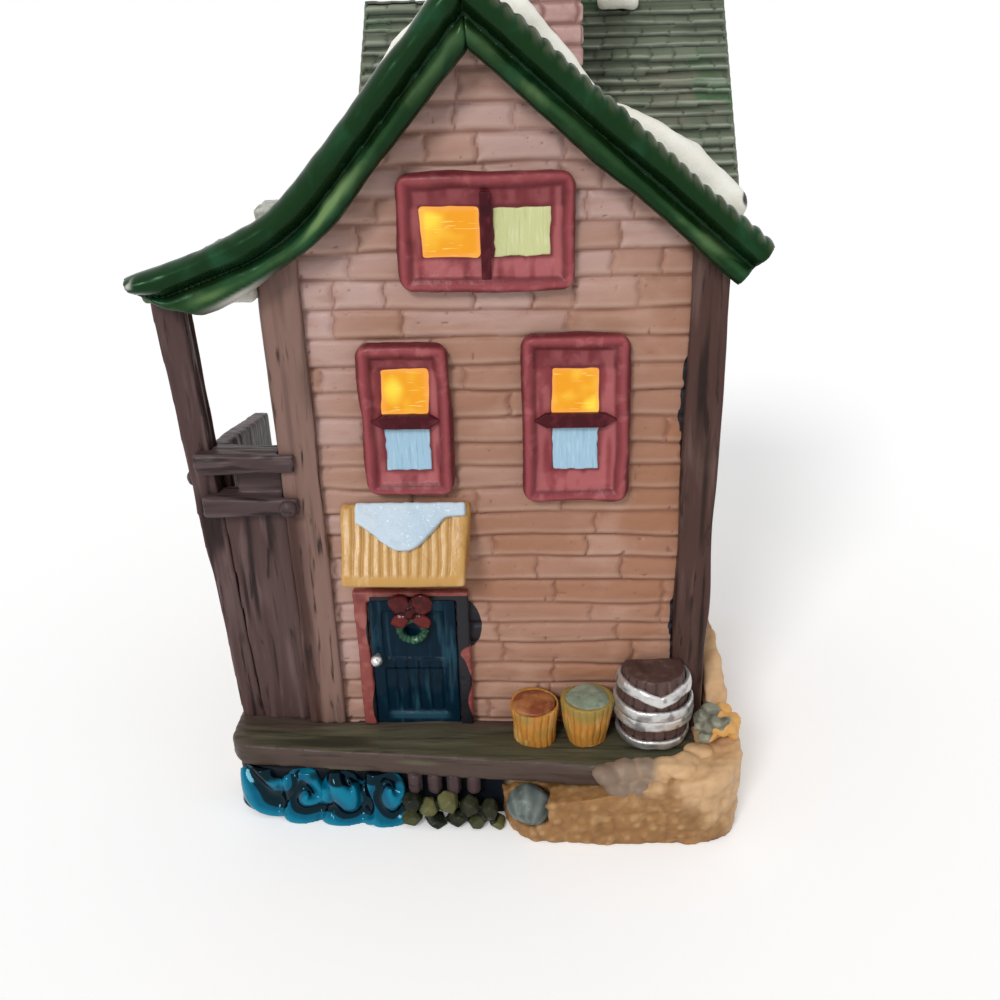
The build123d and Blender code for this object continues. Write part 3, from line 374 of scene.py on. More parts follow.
barge = Glaze("barge glaze", (0.005, 0.021, 0.004), 0.2, specular=0.22, tint=(0.45, 1.0, 0.6))
barge.marks((0.01, 0.05, 0.02), 9.0, (0.45, 0.7), warp=0.5)
# Over the crest, lighter green paint and a painted highlight along the lower roll; the near-black coat is
# painted shade in the valley and under the moulding; the pale coat is worn chips and bare bisque.
barge.coat((0.04, 0.105, 0.034), "crest", 0.9, (0.25, 1.0))
barge.marks((0.13, 0.21, 0.085), 3.2, (0.46, 0.66), barge.channel("crest"), 4, (5, 1, 5), 0.6)
barge.coat((0.16, 0.25, 0.095), "crest", 0.8, (0.6, 1.0))
barge.coat((0.085, 0.09, 0.052), "spill", 0.8)
barge.coat((0.002, 0.005, 0.002), "wash_and_shade", 0.75)
barge.coat((0.62, 0.6, 0.54), "tone", 0.85)
barge.gloss(0.16, 0.34, 4.0, 2)
barge.relief(0.1, 2.4, 3, (2, 1, 2))

shingle = Glaze("shingle glaze", (0.125, 0.15, 0.102), 0.5, specular=0.2)
shingle.marks((0.18, 0.165, 0.12), 16, (0.46, 0.64))
shingle.marks((0.06, 0.14, 0.06), 11, (0.55, 0.72))
# Light strokes along the shingle butts, partly a painted highlight; the near-black coat is painted shade
# under the butts of the course above and dark slits between shingles.
shingle.marks((0.31, 0.34, 0.27), 2.6, (0.34, 0.58), shingle.channel("crest"), 4, (5, 1, 1), 0.3)
shingle.coat((0.17, 0.2, 0.145), "tone", 0.7, (0.5, 1.0))
shingle.coat((0.014, 0.02, 0.012), "wash_and_shade")
shingle.gloss(0.36, 0.6, 2.0)
shingle.relief(0.15, 0.9, 3, (3, 1, 1))

snow = snow_glaze("snow glaze", (0.88, 0.87, 0.79), (0.82, 0.79, 0.68), (0.9, 0.89, 0.84))
awning_white = snow_glaze("awning snow glaze", (0.54, 0.64, 0.72), (0.43, 0.56, 0.67), (0.76, 0.81, 0.86))
bisque = snow_glaze("bisque", (0.66, 0.64, 0.58), (0.5, 0.47, 0.41), (0.75, 0.74, 0.7))

brick = brushed("brick glaze", (0.49, 0.295, 0.27), (0.6, 0.43, 0.4), (0.24, 0.115, 0.1))
stone = brushed("stone glaze", (0.44, 0.44, 0.39), (0.62, 0.62, 0.56), (0.14, 0.13, 0.1), size=0.9)
maroon = brushed("window glaze", (0.235, 0.038, 0.046), (0.42, 0.12, 0.125), (0.07, 0.009, 0.013),
                 roughness=0.34, size=3.0, specular=0.2)
sash_paint = brushed("sash glaze", (0.06, 0.008, 0.012), (0.13, 0.022, 0.03), (0.02, 0.005, 0.007),
                     roughness=0.26, specular=0.1)
door_red = brushed("door frame glaze", (0.25, 0.058, 0.05), (0.36, 0.12, 0.1), (0.09, 0.018, 0.016))
door_red.coat((0.01, 0.009, 0.013), "spill", limits=(0.45, 0.6))
navy = brushed("door glaze", (0.002, 0.014, 0.027), (0.022, 0.075, 0.11), (0.001, 0.004, 0.008),
               roughness=0.16, grain=(1, 1, 8), size=1.6, specular=0.08)
bow_red = brushed("bow glaze", (0.062, 0.005, 0.006), (0.15, 0.016, 0.013), (0.022, 0.002, 0.003),
                  roughness=0.2, specular=0.2)
green = brushed("wreath glaze", (0.012, 0.075, 0.035), (0.05, 0.16, 0.08), (0.006, 0.03, 0.015),
                roughness=0.25)
ochre = brushed("awning glaze", (0.53, 0.295, 0.085), (0.66, 0.43, 0.2), (0.3, 0.135, 0.028),
                roughness=0.3, grain=(1, 1, 5))
staves = brushed("barrel glaze", (0.075, 0.038, 0.032), (0.13, 0.082, 0.072), (0.018, 0.009, 0.008),
                 grain=(1, 1, 6))
splint = brushed("basket glaze", (0.5, 0.215, 0.036), (0.7, 0.44, 0.15), (0.24, 0.085, 0.014),
                 grain=(1, 1, 5), size=1.4)
splint.coat((0.26, 0.205, 0.05), "spill", 0.8)
fruit = brushed("fruit glaze", (0.24, 0.062, 0.026), (0.42, 0.17, 0.06), (0.08, 0.02, 0.01), size=1.2)
greens = brushed("greens glaze", (0.23, 0.28, 0.21), (0.34, 0.4, 0.31), (0.1, 0.13, 0.07), size=1.6)
ground = brushed("ground glaze", (0.4, 0.27, 0.155), (0.52, 0.38, 0.25), (0.24, 0.145, 0.08),
                 roughness=0.5, size=5.0, specular=0.08)
ground.coat((0.005, 0.008, 0.012), "spill")
sand = brushed("sand glaze", (0.31, 0.155, 0.054), (0.47, 0.29, 0.135), (0.19, 0.088, 0.03),
               roughness=0.5, size=4.0)
sand.coat((0.65, 0.42, 0.225), "tone", 0.9, (0.5, 1.0))
sand.coat((0.2, 0.15, 0.118), "spill", 0.85)
rock = brushed("rock glaze", (0.055, 0.06, 0.026), (0.15, 0.14, 0.055), (0.004, 0.006, 0.006),
               roughness=0.3, size=1.8, specular=0.15)
grey_rock = brushed("boulder glaze", (0.095, 0.118, 0.112), (0.18, 0.21, 0.19), (0.038, 0.047, 0.042),
                    roughness=0.35, size=2.6)
plant = brushed("plant glaze", (0.21, 0.21, 0.155), (0.38, 0.36, 0.26), (0.09, 0.085, 0.06), size=1.4)
plant.coat((0.68, 0.36, 0.105), "spill", limits=(0.3, 0.6))

# Amber film whose glow is painted light for the lamp behind it, scratched and brighter in patches
film = Glaze("lit film", (0.9, 0.36, 0.02), 0.4)
film.marks((0.98, 0.56, 0.05), 7.0, (0.46, 0.7), detail=2)
film.marks((1.0, 0.74, 0.22), 0.45, (0.62, 0.66), 0.6, 2, (16, 1, 2), 2.0)
# A painted hot spot of the lamp's glow, and an orange rim of glow along the pane's edges.
film.coat((1.0, 0.8, 0.075), "crest", 0.85)
film.coat((1.0, 0.4, 0.1), "wash_and_shade", 0.6)
film.tree.links.remove(film.shader.inputs["Base Color"].links[0])
film.fill(film.shader, Base_Color=(0.02, 0.01, 0.0, 1), Specular_IOR_Level=0.1, Emission_Color=film.painted,
          Emission_Strength=1.0)

water = Glaze("water glaze", (0.001, 0.095, 0.175), 0.1, tint=(0.3, 0.8, 1.0))
# Brighter teal on the curl ridges, partly a painted highlight; the near-black coat is the painted shade of
# the curls.
water.coat((0.004, 0.19, 0.3), "crest", 0.9)
water.marks((0.001, 0.04, 0.085), 5.0, (0.55, 0.75))
water.coat((0.001, 0.003, 0.007), "wash_and_shade", limits=(0.25, 0.75))
water.gloss(0.06, 0.16, 3.0, 2)

silver = Glaze("silver paint", (0.62, 0.61, 0.6), 0.3, Metallic=0.75)
silver.marks((0.3, 0.29, 0.29), 1.4, (0.5, 0.72), 1.0, 4, (3, 3, 1))
silver.coat((0.16, 0.15, 0.15), "wash_and_shade", 0.8)
silver.gloss(0.22, 0.45, 1.2)
silver.relief(0.12, 0.7)

pale_blue = blind_glaze("blue pane glaze", (0.34, 0.53, 0.67), (0.5, 0.66, 0.76), (0.22, 0.4, 0.54))
pale_green = blind_glaze("green pane glaze", (0.58, 0.6, 0.29), (0.7, 0.7, 0.42), (0.46, 0.5, 0.2))


# Courses of boards, shingles or bricks, uneven as if pressed in by hand
SHORTER = 0.5


def courses(along, up, course, jitter, lengths, wave, seed, shorter_above=math.inf):
    """Distances in mm to the edges of a course and the ends of a piece, and two numbers per piece."""
    random = np.random.default_rng(seed)
    lines = [up.min() - course]
    while lines[-1] < up.max() + course:
        lines.append(lines[-1] + course + random.uniform(-jitter, jitter))
    waves = [(random.uniform(0.3, 1) * wave, random.uniform(7, 15), random.uniform(0, 2 * math.pi))
             for _ in lines]

    def edge(index):
        amount, length, shift = waves[index]
        slow = np.sin(along / length + shift)
        quick = np.sin(along / (0.37 * length) + 2 * shift)
        return lines[index] + amount * (slow + 0.4 * quick)

    below, above, end, tone, lift = np.zeros((5, len(along)))
    lower = edge(0)
    for index in range(len(lines) - 1):
        upper = edge(index + 1)
        inside = (up >= lower) & (up < upper)
        share = SHORTER if lines[index] > shorter_above else 1.0
        joints = [along.min() - random.uniform(0, lengths[1])]
        while joints[-1] < along.max():
            joints.append(joints[-1] + share * random.uniform(*lengths))
        joints = np.array(joints)
        tones = random.uniform(0, 1, len(joints))
        lifts = random.uniform(-1, 1, len(joints))
        place = along[inside] + 0.25 * np.sin(1.7 * up[inside])
        which = np.clip(np.searchsorted(joints, place) - 1, 0, len(joints) - 2)
        below[inside] = (up - lower)[inside]
        above[inside] = (upper - up)[inside]
        end[inside] = np.minimum(np.abs(place - joints[which]), np.abs(joints[which + 1] - place))
        tone[inside] = tones[which]
        lift[inside] = lifts[which]
        lower = upper
    return below, above, end, tone, lift


# Walls
BOARD_COURSE = 5.2
BOARD_JITTER = 0.55
BOARD_LENGTHS = (12.0, 34.0)
BOARD_WAVE = 0.32
BOARD_GROOVE = 0.6
BOARD_EDGE = 0.55
BOARD_LEAN = 0.3
BOARD_LIFT = 0.14
CARVE_REACH = 1.4
GABLE_LEVEL = 88.0
FRONT_VOXEL, WALL_VOXEL = 0.42, 0.6
PALE_LEFT, PALE_GABLE = (14, 40), (76, 112)
RUDDY_RIGHT, RUDDY_FOOT = (0, 40), (100, 80)


def carve_wall(node, axis, sense, voxel, seed, spill=None):
    """Replaces a wall by one with hand-pressed boards on its outer face."""
    skin = Skin(node, voxel, 1)
    low, high = span(node)
    face = high[axis] if sense > 0 else low[axis]
    along, up = skin.points[:, 1 - axis], skin.z
    below, above, end, tone, lift = courses(
        along, up, BOARD_COURSE, BOARD_JITTER, BOARD_LENGTHS, BOARD_WAVE, seed, GABLE_LEVEL)
    near = np.minimum(np.minimum(below, above), 1.25 * end)
    flat = np.stack([along, 0 * along, up], axis=1)
    pits = ramp(lumps(flat, 0.9, seed + 3), 0.84, 0.95)
    depth = BOARD_GROOVE * bell(near, BOARD_EDGE) + BOARD_LEAN * below / (below + above + 0.01)
    depth += 0.16 * bell(near, 2.6 * BOARD_EDGE) + BOARD_LIFT * lift + 0.3 * pits
    depth += 0.16 * lumps(flat, (9, 1, 2.2), seed + 1) + 0.08 * lumps(flat, (2.2, 1, 1.1), seed + 2)
    outer = sense * (face - skin.points[:, axis]) < CARVE_REACH
    skin.points[outer, axis] = face - sense * np.clip(depth[outer], 0, None)
    # Darker paint and painted shade in the grooves between boards, with dark pits.
    wash_and_shade = bell(near, 0.75 * BOARD_EDGE) * (0.7 + 0.3 * lumps(flat, 7, seed + 5))
    shade = 0.3 + 0.3 * tone + 0.16 * lumps(flat, (26, 1, 20), seed + 4)
    # Paler to the left, where the paint is worn; paler towards the gable and ruddier low on the right, partly
    # painted light.
    if axis == 1 and sense < 0:
        shade += 0.26 * ramp(-along, *PALE_LEFT) + 0.3 * ramp(up, *PALE_GABLE)
        shade -= 0.22 * ramp(along, *RUDDY_RIGHT) * ramp(up, *RUDDY_FOOT)
    # A painted highlight in a band just above the lower edge of each board (crest), and stray black paint
    # (spill).
    skin.piece(node + "_boards", "siding", siding, [node], outer * np.maximum(wash_and_shade, 0.8 * pits), shade,
               outer * 0.6 * bell(below - 1.1, 0.5), 0 if spill is None else spill(skin))


door_high = span("door_frame")[1]
SPILL_REACH = 3.0
SPILL_MIDDLE = 24.6
SPILL_HALF = 5.6
SPILL_PINCH = 19.0
SPILL_LAP, SPILL_START = 0.6, (-3.2, -2.6)


def front_spill(skin):
    """Black paint that strayed from the upper right of the door, and a dark edge by the corner board."""
    round_off = np.sqrt(np.clip(1 - ((skin.z - SPILL_MIDDLE) / SPILL_HALF) ** 2, 0, 1))
    past = skin.x - door_high[0]
    strayed = ramp(SPILL_REACH * round_off - SPILL_LAP - past, -0.4, 0.4) * ramp(past, *SPILL_START)
    upright = skin.points * (0, 0, 1)
    ragged = 0.35 + 0.8 * lumps(upright, 9, 17) + 0.25 * lumps(upright, 2, 18)
    corner = span("corner_board_right")[0][0] - ragged
    return np.maximum(strayed * (round_off > 0), 0.8 * ramp(skin.x - corner, -0.2, 0.2))


carve_wall("front_wall", 1, -1, FRONT_VOXEL, 11, front_spill)
carve_wall("left_wall", 0, -1, WALL_VOXEL, 23)
carve_wall("right_wall", 0, 1, WALL_VOXEL, 31)
carve_wall("back_left_wall", 1, 1, WALL_VOXEL, 43)
carve_wall("wing_left_wall", 0, -1, WALL_VOXEL, 53)
carve_wall("wing_back_wall", 1, 1, WALL_VOXEL, 61)


# Mortar that closes the corner between the wing's wall and the front roof behind it
JUNCTION_LOW = (-24.1, 33.6, 121.5)
JUNCTION_HIGH = (-20.4, 46.8, 129.5)


def junction():
    shape = bmesh.new()
    corners = itertools.product(*zip(JUNCTION_LOW, JUNCTION_HIGH))
    bmesh.ops.convex_hull(shape, input=[shape.verts.new(corner) for corner in corners])
    skin = Skin(mesh_of(shape), voxel=0.4, soften=2)
    skin.push(0.2 * skin.lumps(3, 65) + 0.1 * skin.lumps(1.2, 66))
    skin.piece("wing_roof_mortar", "siding", siding, wash_and_shade=ramp(skin.lumps((3, 6, 1.5), 67), 0.3, 0.9))


junction()


# Timber: leaning, grained boards
def weathered(node, slot, glaze, voxel=0.42, soften=3, grain=(1.1, 1.1, 16), bite=0.28, sway=0.3, swell=0.0,
              fade=None, lean=None, inner=0.0, seed=5):
    """A softened copy of a solid with grain cut along its length; fade is where another colour shows, and
    inner is the strength of painted shade on faces that turn right.
    """
    skin = Skin(node, voxel, soften)
    grain = np.array(grain)
    streak, fine = skin.lumps(grain, seed), skin.lumps(grain * 0.45, seed + 1)
    faded = np.zeros(len(skin.points)) if fade is None else fade(skin)
    tone = 0.45 + 0.4 * skin.lumps(grain * 2, seed + 3)
    # Dark streaks along the grain, and painted shade on faces that turn right, away from the key light.
    shade = ramp(-streak, 0.25, 0.75) * (1 - 0.6 * faded)
    shade = np.maximum(shade, inner * ramp(skin.normals[:, 0], 0.3, 0.7))
    skin.push(swell + bite * (0.6 * streak + 0.4 * fine) + sway * skin.lumps(15, seed + 2))
    if lean is not None:
        lean(skin)
    crest = ramp(streak, 0.4, 0.9) * (1 - shade)
    skin.piece(node + "_painted", slot, glaze, [node], shade, tone, crest, faded)


HOUSE_SIDE = (-43.5, -39.0)
WORN_X, WORN_LEVEL = -42.5, 78.0
WORN_WIDE, WORN_TALL = (2.4, 0.8), (30, 16)


def wall_fade(skin):
    """Wall colour that runs over the left corner board, beside the house and in a worn patch."""
    edge = skin.lumps((3, 3, 14), 70) * 1.6
    house_side = ramp(skin.x + edge, *HOUSE_SIDE)
    worn = ramp(np.abs(skin.x - WORN_X + edge), *WORN_WIDE) * ramp(np.abs(skin.z - WORN_LEVEL), *WORN_TALL)
    return np.maximum(house_side, worn)


DECK_MIDDLE = -8.0
DECK_ENDS, DECK_BACK = (40, 52), (-5.5, -1.5)


def front_fade(skin):
    """The reddish brown front edge, ends and back of the deck."""
    end = ramp(np.abs(skin.x - DECK_MIDDLE), *DECK_ENDS)
    back = 0.7 * ramp(skin.y + 2.5 * skin.lumps((14, 5, 5), 81), *DECK_BACK)
    front = ramp(-skin.normals[:, 1] + 0.3 * skin.lumps((12, 4, 4), 80), 0.3, 0.8)
    return np.maximum(np.maximum(front, back), 0.6 * end)


SIDE_PANEL_FALL = 0.07


def sinking(skin):
    """The side panel's top falls towards the back."""
    low, high = span("porch_side_panel")
    back = (skin.y - low[1]) / (high[1] - low[1])
    skin.z *= 1 - SIDE_PANEL_FALL * np.clip(back, 0, 1)


weathered("corner_board_left", "timber", timber, fade=wall_fade, seed=71)
weathered("corner_board_right", "timber", timber, seed=72)
# The post and the side panel carry painted shade on their right faces (inner).
weathered("porch_post", "timber", porch_paint, bite=0.4, inner=0.45, seed=73)
weathered("porch_front_panel", "timber", porch_paint, bite=0.45, seed=74)
weathered("porch_side_panel", "timber", porch_paint, voxel=0.5, soften=6, bite=0.12, lean=sinking, inner=0.6,
          seed=75)
weathered("porch_rail", "timber", rail_paint, voxel=0.35, soften=14, grain=(8, 1.2, 1.2), seed=76)
weathered("porch_pegs", "timber", rail_paint, voxel=0.3, soften=5, seed=77)
weathered("boardwalk_deck", "deck", deck_paint, voxel=0.45, soften=10, grain=(18, 1.6, 1.6), sway=0.5,
          fade=front_fade, seed=78)
weathered("deck_piles", "deck", rail_paint, voxel=0.3, bite=0.4, swell=0.55, seed=79)


# Roofs
TOP_STEP = 0.8
TOP_BLUR = 5
TOP_TRIM, TOP_FIT = 3, 4


def top_line(points, axis):
    """Places along an axis with the top of a piece there, and the length of that slope from its ridge.
    The rounded ends are made straight."""
    place = points[:, axis]
    places = np.arange(place.min(), place.max() + TOP_STEP, TOP_STEP)
    which = np.clip(np.round((place - places[0]) / TOP_STEP).astype(int), 0, len(places) - 1)
    top = np.full(len(places), points[:, 2].min())
    np.maximum.at(top, which, points[:, 2])
    padded = np.pad(top, TOP_BLUR // 2, mode="reflect", reflect_type="odd")
    top = np.convolve(padded, np.ones(TOP_BLUR) / TOP_BLUR, mode="valid")
    for end, inward in ((0, 1), (-1, -1)):
        base = end + TOP_TRIM * inward
        slope = (top[base + TOP_FIT * inward] - top[base]) / TOP_FIT
        for near in range(TOP_TRIM):
            top[end + near * inward] = top[base] - slope * (TOP_TRIM - near)
    length = np.concatenate([[0], np.cumsum(np.hypot(np.diff(places), np.diff(top)))])
    if top[0] < top[-1]:
        length = length[-1] - length
    return places, top, length


WING_COURSE = 2.9
FRONT_COURSE = 4.2
SHINGLE_BUTT = 0.85
SHINGLE_LENGTHS = (3.0, 7.5)
SHINGLE_SPLIT = 0.3


def shingled(node, course, run_axis, seed):
    """Replaces a roof slope by one with wavy courses of shingles on its upper side."""
    skin = Skin(node, voxel=0.45, soften=8)
    places, _, length = top_line(skin.points, run_axis)
    run = np.interp(skin.points[:, run_axis], places, length)
    across = skin.points[:, 1 - run_axis]
    below, above, end, tone, lift = courses(
        across, -run, course, 0.1 * course, SHINGLE_LENGTHS, 0.12 * course, seed)
    share = below / (below + above + 0.01)
    sky = ramp(skin.normals[:, 2], 0.25, 0.5)
    split = bell(end, SHINGLE_SPLIT) * ramp(tone, 0.2, 0.5)
    shade = 0.4 * tone + 0.3 + 0.4 * skin.lumps(12, seed + 2)
    skin.push(-sky * (SHINGLE_BUTT * share + 0.25 * split + 0.1 * lift + 0.12 * skin.lumps(2.2, seed + 1)))
    # Painted shade under the butts of the course above and dark slits between shingles; light paint and a
    # painted highlight along each butt.
    wash_and_shade = np.maximum(bell(above, 0.16 * course), 0.6 * split)
    crest = bell(below - 0.22 * course, 0.25 * course)
    skin.piece(node + "_shingles", "shingle", shingle, [node], wash_and_shade * sky, shade, crest * sky)


shingled("front_roof_left", FRONT_COURSE, 0, 81)
shingled("front_roof_right", FRONT_COURSE, 0, 84)
shingled("wing_roof_left", WING_COURSE, 1, 87)
shingled("wing_roof_right", WING_COURSE, 1, 90)
shingled("wing_roof_back", WING_COURSE, 1, 93)

BARGE_VALLEY = 5.2
BARGE_ROLL = 7.3
BARGE_DEEP = 9.2
SCALLOP_PITCH = 2.8
SCALLOP_RISE = 0.6
PORCH_MIDDLE = 51.0
PORCH_HALF = 8.0
PORCH_HANG = 1.8
TIP_START, TIP_END = 59.0, 66.0
TIP_TAPER = 0.45
BARE_MIDDLE, BARE_HALF = 46.0, 5.0
SHINE_START, SHINE_END, SHINE_RIGHT = (16, 30), (60, 48), (0, 20)


def barge_board(node, scalloped, seed):
    """A double roll moulding with painted shade in its valley and under it, and lighter green paint with a
    painted highlight along its lower roll.
    """
    skin = Skin(node, voxel=0.4, soften=8)
    places, top, length = top_line(skin.points, 0)
    slope = np.interp(skin.x, places, np.gradient(top, places))
    drop = (np.interp(skin.x, places, top) - skin.z) / np.hypot(1, slope) + 0.3 * skin.lumps(14, seed + 5)
    run = np.interp(skin.x, places, length)
    front = skin.front(0.1, 0.5)
    valley = bell(drop - BARGE_VALLEY, 1.0)
    skin.y += front * (0.8 * valley - 0.5 * np.sin(np.clip(drop / BARGE_VALLEY, 0, 1) * math.pi))
    skin.z -= PORCH_HANG * bell(skin.x + PORCH_MIDDLE, PORCH_HALF) * ramp(drop, 5.5, BARGE_DEEP)
    tip = ramp(-skin.x, TIP_START, TIP_END)
    skin.z += TIP_TAPER * tip * np.clip(drop, 0, None)
    skin.push(0.35 * skin.lumps((9, 6, 9), seed) + 0.08 * skin.lumps(2, seed + 1))
    edge = ramp(drop, 2.3, 0.4)
    brown = 0
    if scalloped:
        wave = np.abs(np.sin(math.pi * (run + 0.5 * skin.lumps(7, seed + 6)) / SCALLOP_PITCH))
        skin.z += SCALLOP_RISE * (wave - 0.6) * edge
        brown = edge * ramp(wave + 0.6 * skin.lumps(1.2, seed + 2), 0.4, 1.0)
    # Painted shade under the moulding; a painted highlight along the lower roll, strongest towards the porch
    # (shine).
    under = bell(drop - BARGE_DEEP, 0.5)
    lower = bell(drop - BARGE_ROLL, 1.0) * (0.72 + 0.35 * skin.lumps(9, seed + 3))
    shine = ramp(-skin.x, *SHINE_START) * ramp(-skin.x, *SHINE_END)
    lower *= 0.5 + 0.8 * shine + 0.3 * ramp(skin.x, *SHINE_RIGHT)
    chipped = np.maximum(ramp(tip, 0.8, 0.97), ramp(tip, 0.1, 0.4) * ramp(drop, 7.5, 8.8))
    chipped *= ramp(skin.lumps(1.6, seed + 4), -0.1, 0.3)
    bare = bell(skin.x + BARE_MIDDLE, BARE_HALF) * ramp(drop, BARGE_DEEP - 1.2, BARGE_DEEP - 0.5)
    # Painted shade in the valley and under the moulding; worn chips and bare bisque as tone; lighter paint
    # and painted highlight as crest; brown dry-brush on the scallops as spill.
    skin.piece(node + "_rolls", "barge", barge, [node], np.maximum(valley, 0.7 * under) * front,
               np.maximum(chipped, bare), lower * front, brown)


barge_board("bargeboard_left", False, 101)
barge_board("bargeboard_right", True, 104)


# Modelled lumps and plates
def soft_copy(node, slot, glaze, voxel=0.4, soften=4, lump=6.0, swell=0.2, fine=1.4, bite=0.08, seed=5):
    """A softened copy of a solid with a hand-modelled surface."""
    skin = Skin(node, voxel, soften)
    broad, small = skin.lumps(lump, seed), skin.lumps(fine, seed + 1)
    skin.push(swell * broad + bite * small)
    skin.piece(node + "_glazed", slot, glaze, [node], ramp(-small, 0.5, 1.0), 0.5 + 0.5 * broad,
               ramp(small, 0.5, 1.0))


def plate(outline, back, front, place=Matrix.Identity(4)):
    """A closed plate: an outline in X and Z, from back to front along -Y, then moved into place."""
    count = len(outline)
    corners = [place @ Vector((u, -depth, v)) for depth in (back, front) for u, v in outline]
    faces = [tuple(range(count)), tuple(reversed(range(count, 2 * count)))]
    faces += [(i, i + count, (i + 1) % count + count, (i + 1) % count) for i in range(count)]
    mesh = bpy.data.meshes.new("plate")
    mesh.from_pydata(corners, [], faces)
    shape = bmesh.new()
    shape.from_mesh(mesh)
    bmesh.ops.recalc_face_normals(shape, faces=shape.faces)
    bmesh.ops.triangulate(shape, faces=shape.faces)
    shape.to_mesh(mesh)
    shape.free()
    return mesh


def boulder(shape, centre, radii, turn, facets, random):
    """Adds an angular stone to a bmesh: the hull of points scattered over an ellipsoid."""
    corners = []
    spin = Matrix.Rotation(turn, 4, "Y")
    for index in range(facets):
        rise = 1 - 2 * (index + 0.5) / facets
        angle = index * GOLDEN_ANGLE + random.uniform(-0.3, 0.3)
        flat = math.sqrt(1 - rise * rise)
        unit = Vector((flat * math.cos(angle), flat * math.sin(angle), rise))
        offset = unit * Vector(radii) * random.uniform(0.88, 1.08)
        corners.append(shape.verts.new(Vector(centre) + spin @ offset))
    hull = bmesh.ops.convex_hull(shape, input=corners)
    spare = [item for item in hull["geom_interior"] if isinstance(item, bmesh.types.BMVert)]
    bmesh.ops.delete(shape, geom=spare, context="VERTS")


def cluster(stones, facets, voxel, soften, seed):
    """A skin over stones given as centre, radii and turn, the stone of each point, and its crease."""
    random = np.random.default_rng(seed)
    shape = bmesh.new()
    for centre, radii, turn in stones:
        boulder(shape, centre, radii, turn, facets, random)
    skin = Skin(mesh_of(shape), voxel, soften)
    away = np.array([np.linalg.norm((skin.points - np.array(centre)) / np.array(radii), axis=1)
                     for centre, radii, turn in stones])
    order = np.sort(away, axis=0)
    crease = ramp(order[1] - order[0], 0.35, 0.05) if len(stones) > 1 else np.zeros(len(skin.points))
    return skin, np.argmin(away, axis=0), crease


soft_copy("porch_ceiling", "bisque", bisque, voxel=0.6, seed=107)


BASE_DARK_X, BASE_DARK_Y = (0, 2), (0, -4)
BASE_DARK_END = 1.5


def earthen_base():
    """The base, painted dark behind the water and the stones: dark paint, and painted shade in the gaps
    between them.
    """
    skin = Skin("ground_base", voxel=0.7, soften=2)
    broad = skin.lumps(8, 109)
    skin.push(0.4 * broad + 0.3 * skin.lumps(3, 110))
    skin.z[:] = np.maximum(skin.z, span("ground_base")[0][2])
    dark = ramp(BASE_DARK_END - skin.x, *BASE_DARK_X) * ramp(skin.y + 2 * broad, *BASE_DARK_Y)
    skin.piece("ground_base_glazed", "ground", ground, ["ground_base"], tone=0.5 + 0.5 * broad, spill=dark)


earthen_base()


# Snow: drifts whose height above the slope follows a profile along it
RIDGE = (-3.9, 0, 147.5)
RIGHT_PITCH, LEFT_PITCH = math.radians(40.0), math.radians(48.3)
DRIFT_FALL = 0.75


def drift(node, pitch, side, profile, seed, stretch=1.0, shift=0.0, spread=0.0, blot=None):
    """A drift on a slope of the front roof; profile gives its swell from 0 at its top to 1 at its foot."""
    skin = Skin(node, voxel=0.4, soften=12)
    points = skin.points
    down = np.array([side * math.cos(pitch), 0, -math.sin(pitch)])
    out = np.array([side * math.sin(pitch), 0, math.cos(pitch)])
    offset = points - np.array(RIDGE)
    run, height = offset @ down, offset @ out
    part = (run - run.min()) / (run.max() - run.min())
    points += down * (shift + (stretch - 1) * (run - run.min()))[:, None]
    deep = skin.y + 1.6 * skin.lumps(5, seed + 6)
    back = np.clip((deep - deep.min()) / (deep.max() - deep.min()), 0, 1)
    grown = np.maximum(height, 0) * (profile(part) * (1 - DRIFT_FALL * back ** 2) - 1)
    sway = np.stack([skin.lumps(6, seed + axis) for axis in range(3)], axis=1)
    points += grown[:, None] * out + 0.7 * sway * ramp(height, 0, 1)[:, None]
    creep = 2.5 * skin.lumps((7, 30, 7), seed + 7) + spread * (0.6 + skin.lumps((9, 40, 9), seed + 8))
    skin.y += back * creep
    skin.push(0.12 * skin.lumps(1.6, seed + 4))
    spot = 0
    if blot is not None:
        spot = ramp(np.linalg.norm(points - points[np.argmax(points @ np.array(blot))], axis=1), 1.5, 1.1)
    skin.piece(node + "_drift", "snow", snow, [node], ramp(-skin.lumps(4, seed + 5), 0.3, 0.9), spill=spot)


drift("snow_front_slope", RIGHT_PITCH, 1, lambda part: 1.45 - 1.2 * part ** 1.5, 121, stretch=1.08)
drift("snow_valley", RIGHT_PITCH, 1, lambda part: 0.45 + 0.65 * np.sin(0.62 * math.pi * part ** 0.7), 126,
      stretch=1.08, shift=-5.0, blot=(1.0, -0.5, 0.25))
drift("snow_rim", LEFT_PITCH, -1, lambda part: 1.4 + 1.3 * np.sin(math.pi * (0.2 + 0.8 * part)), 131,
      stretch=1.7, shift=-7.0, spread=6.0)
soft_copy("snow_ridge", "snow", snow, soften=8, lump=5.0, swell=0.5, seed=136)

# Chimney and stack
BRICK_COURSE = 3.6
BRICK_JITTER = 0.15
BRICK_LENGTHS = (5.6, 7.4)
BRICK_WAVE = 0.15
BRICK_GROOVE = 0.55
BRICK_EDGE = 0.42


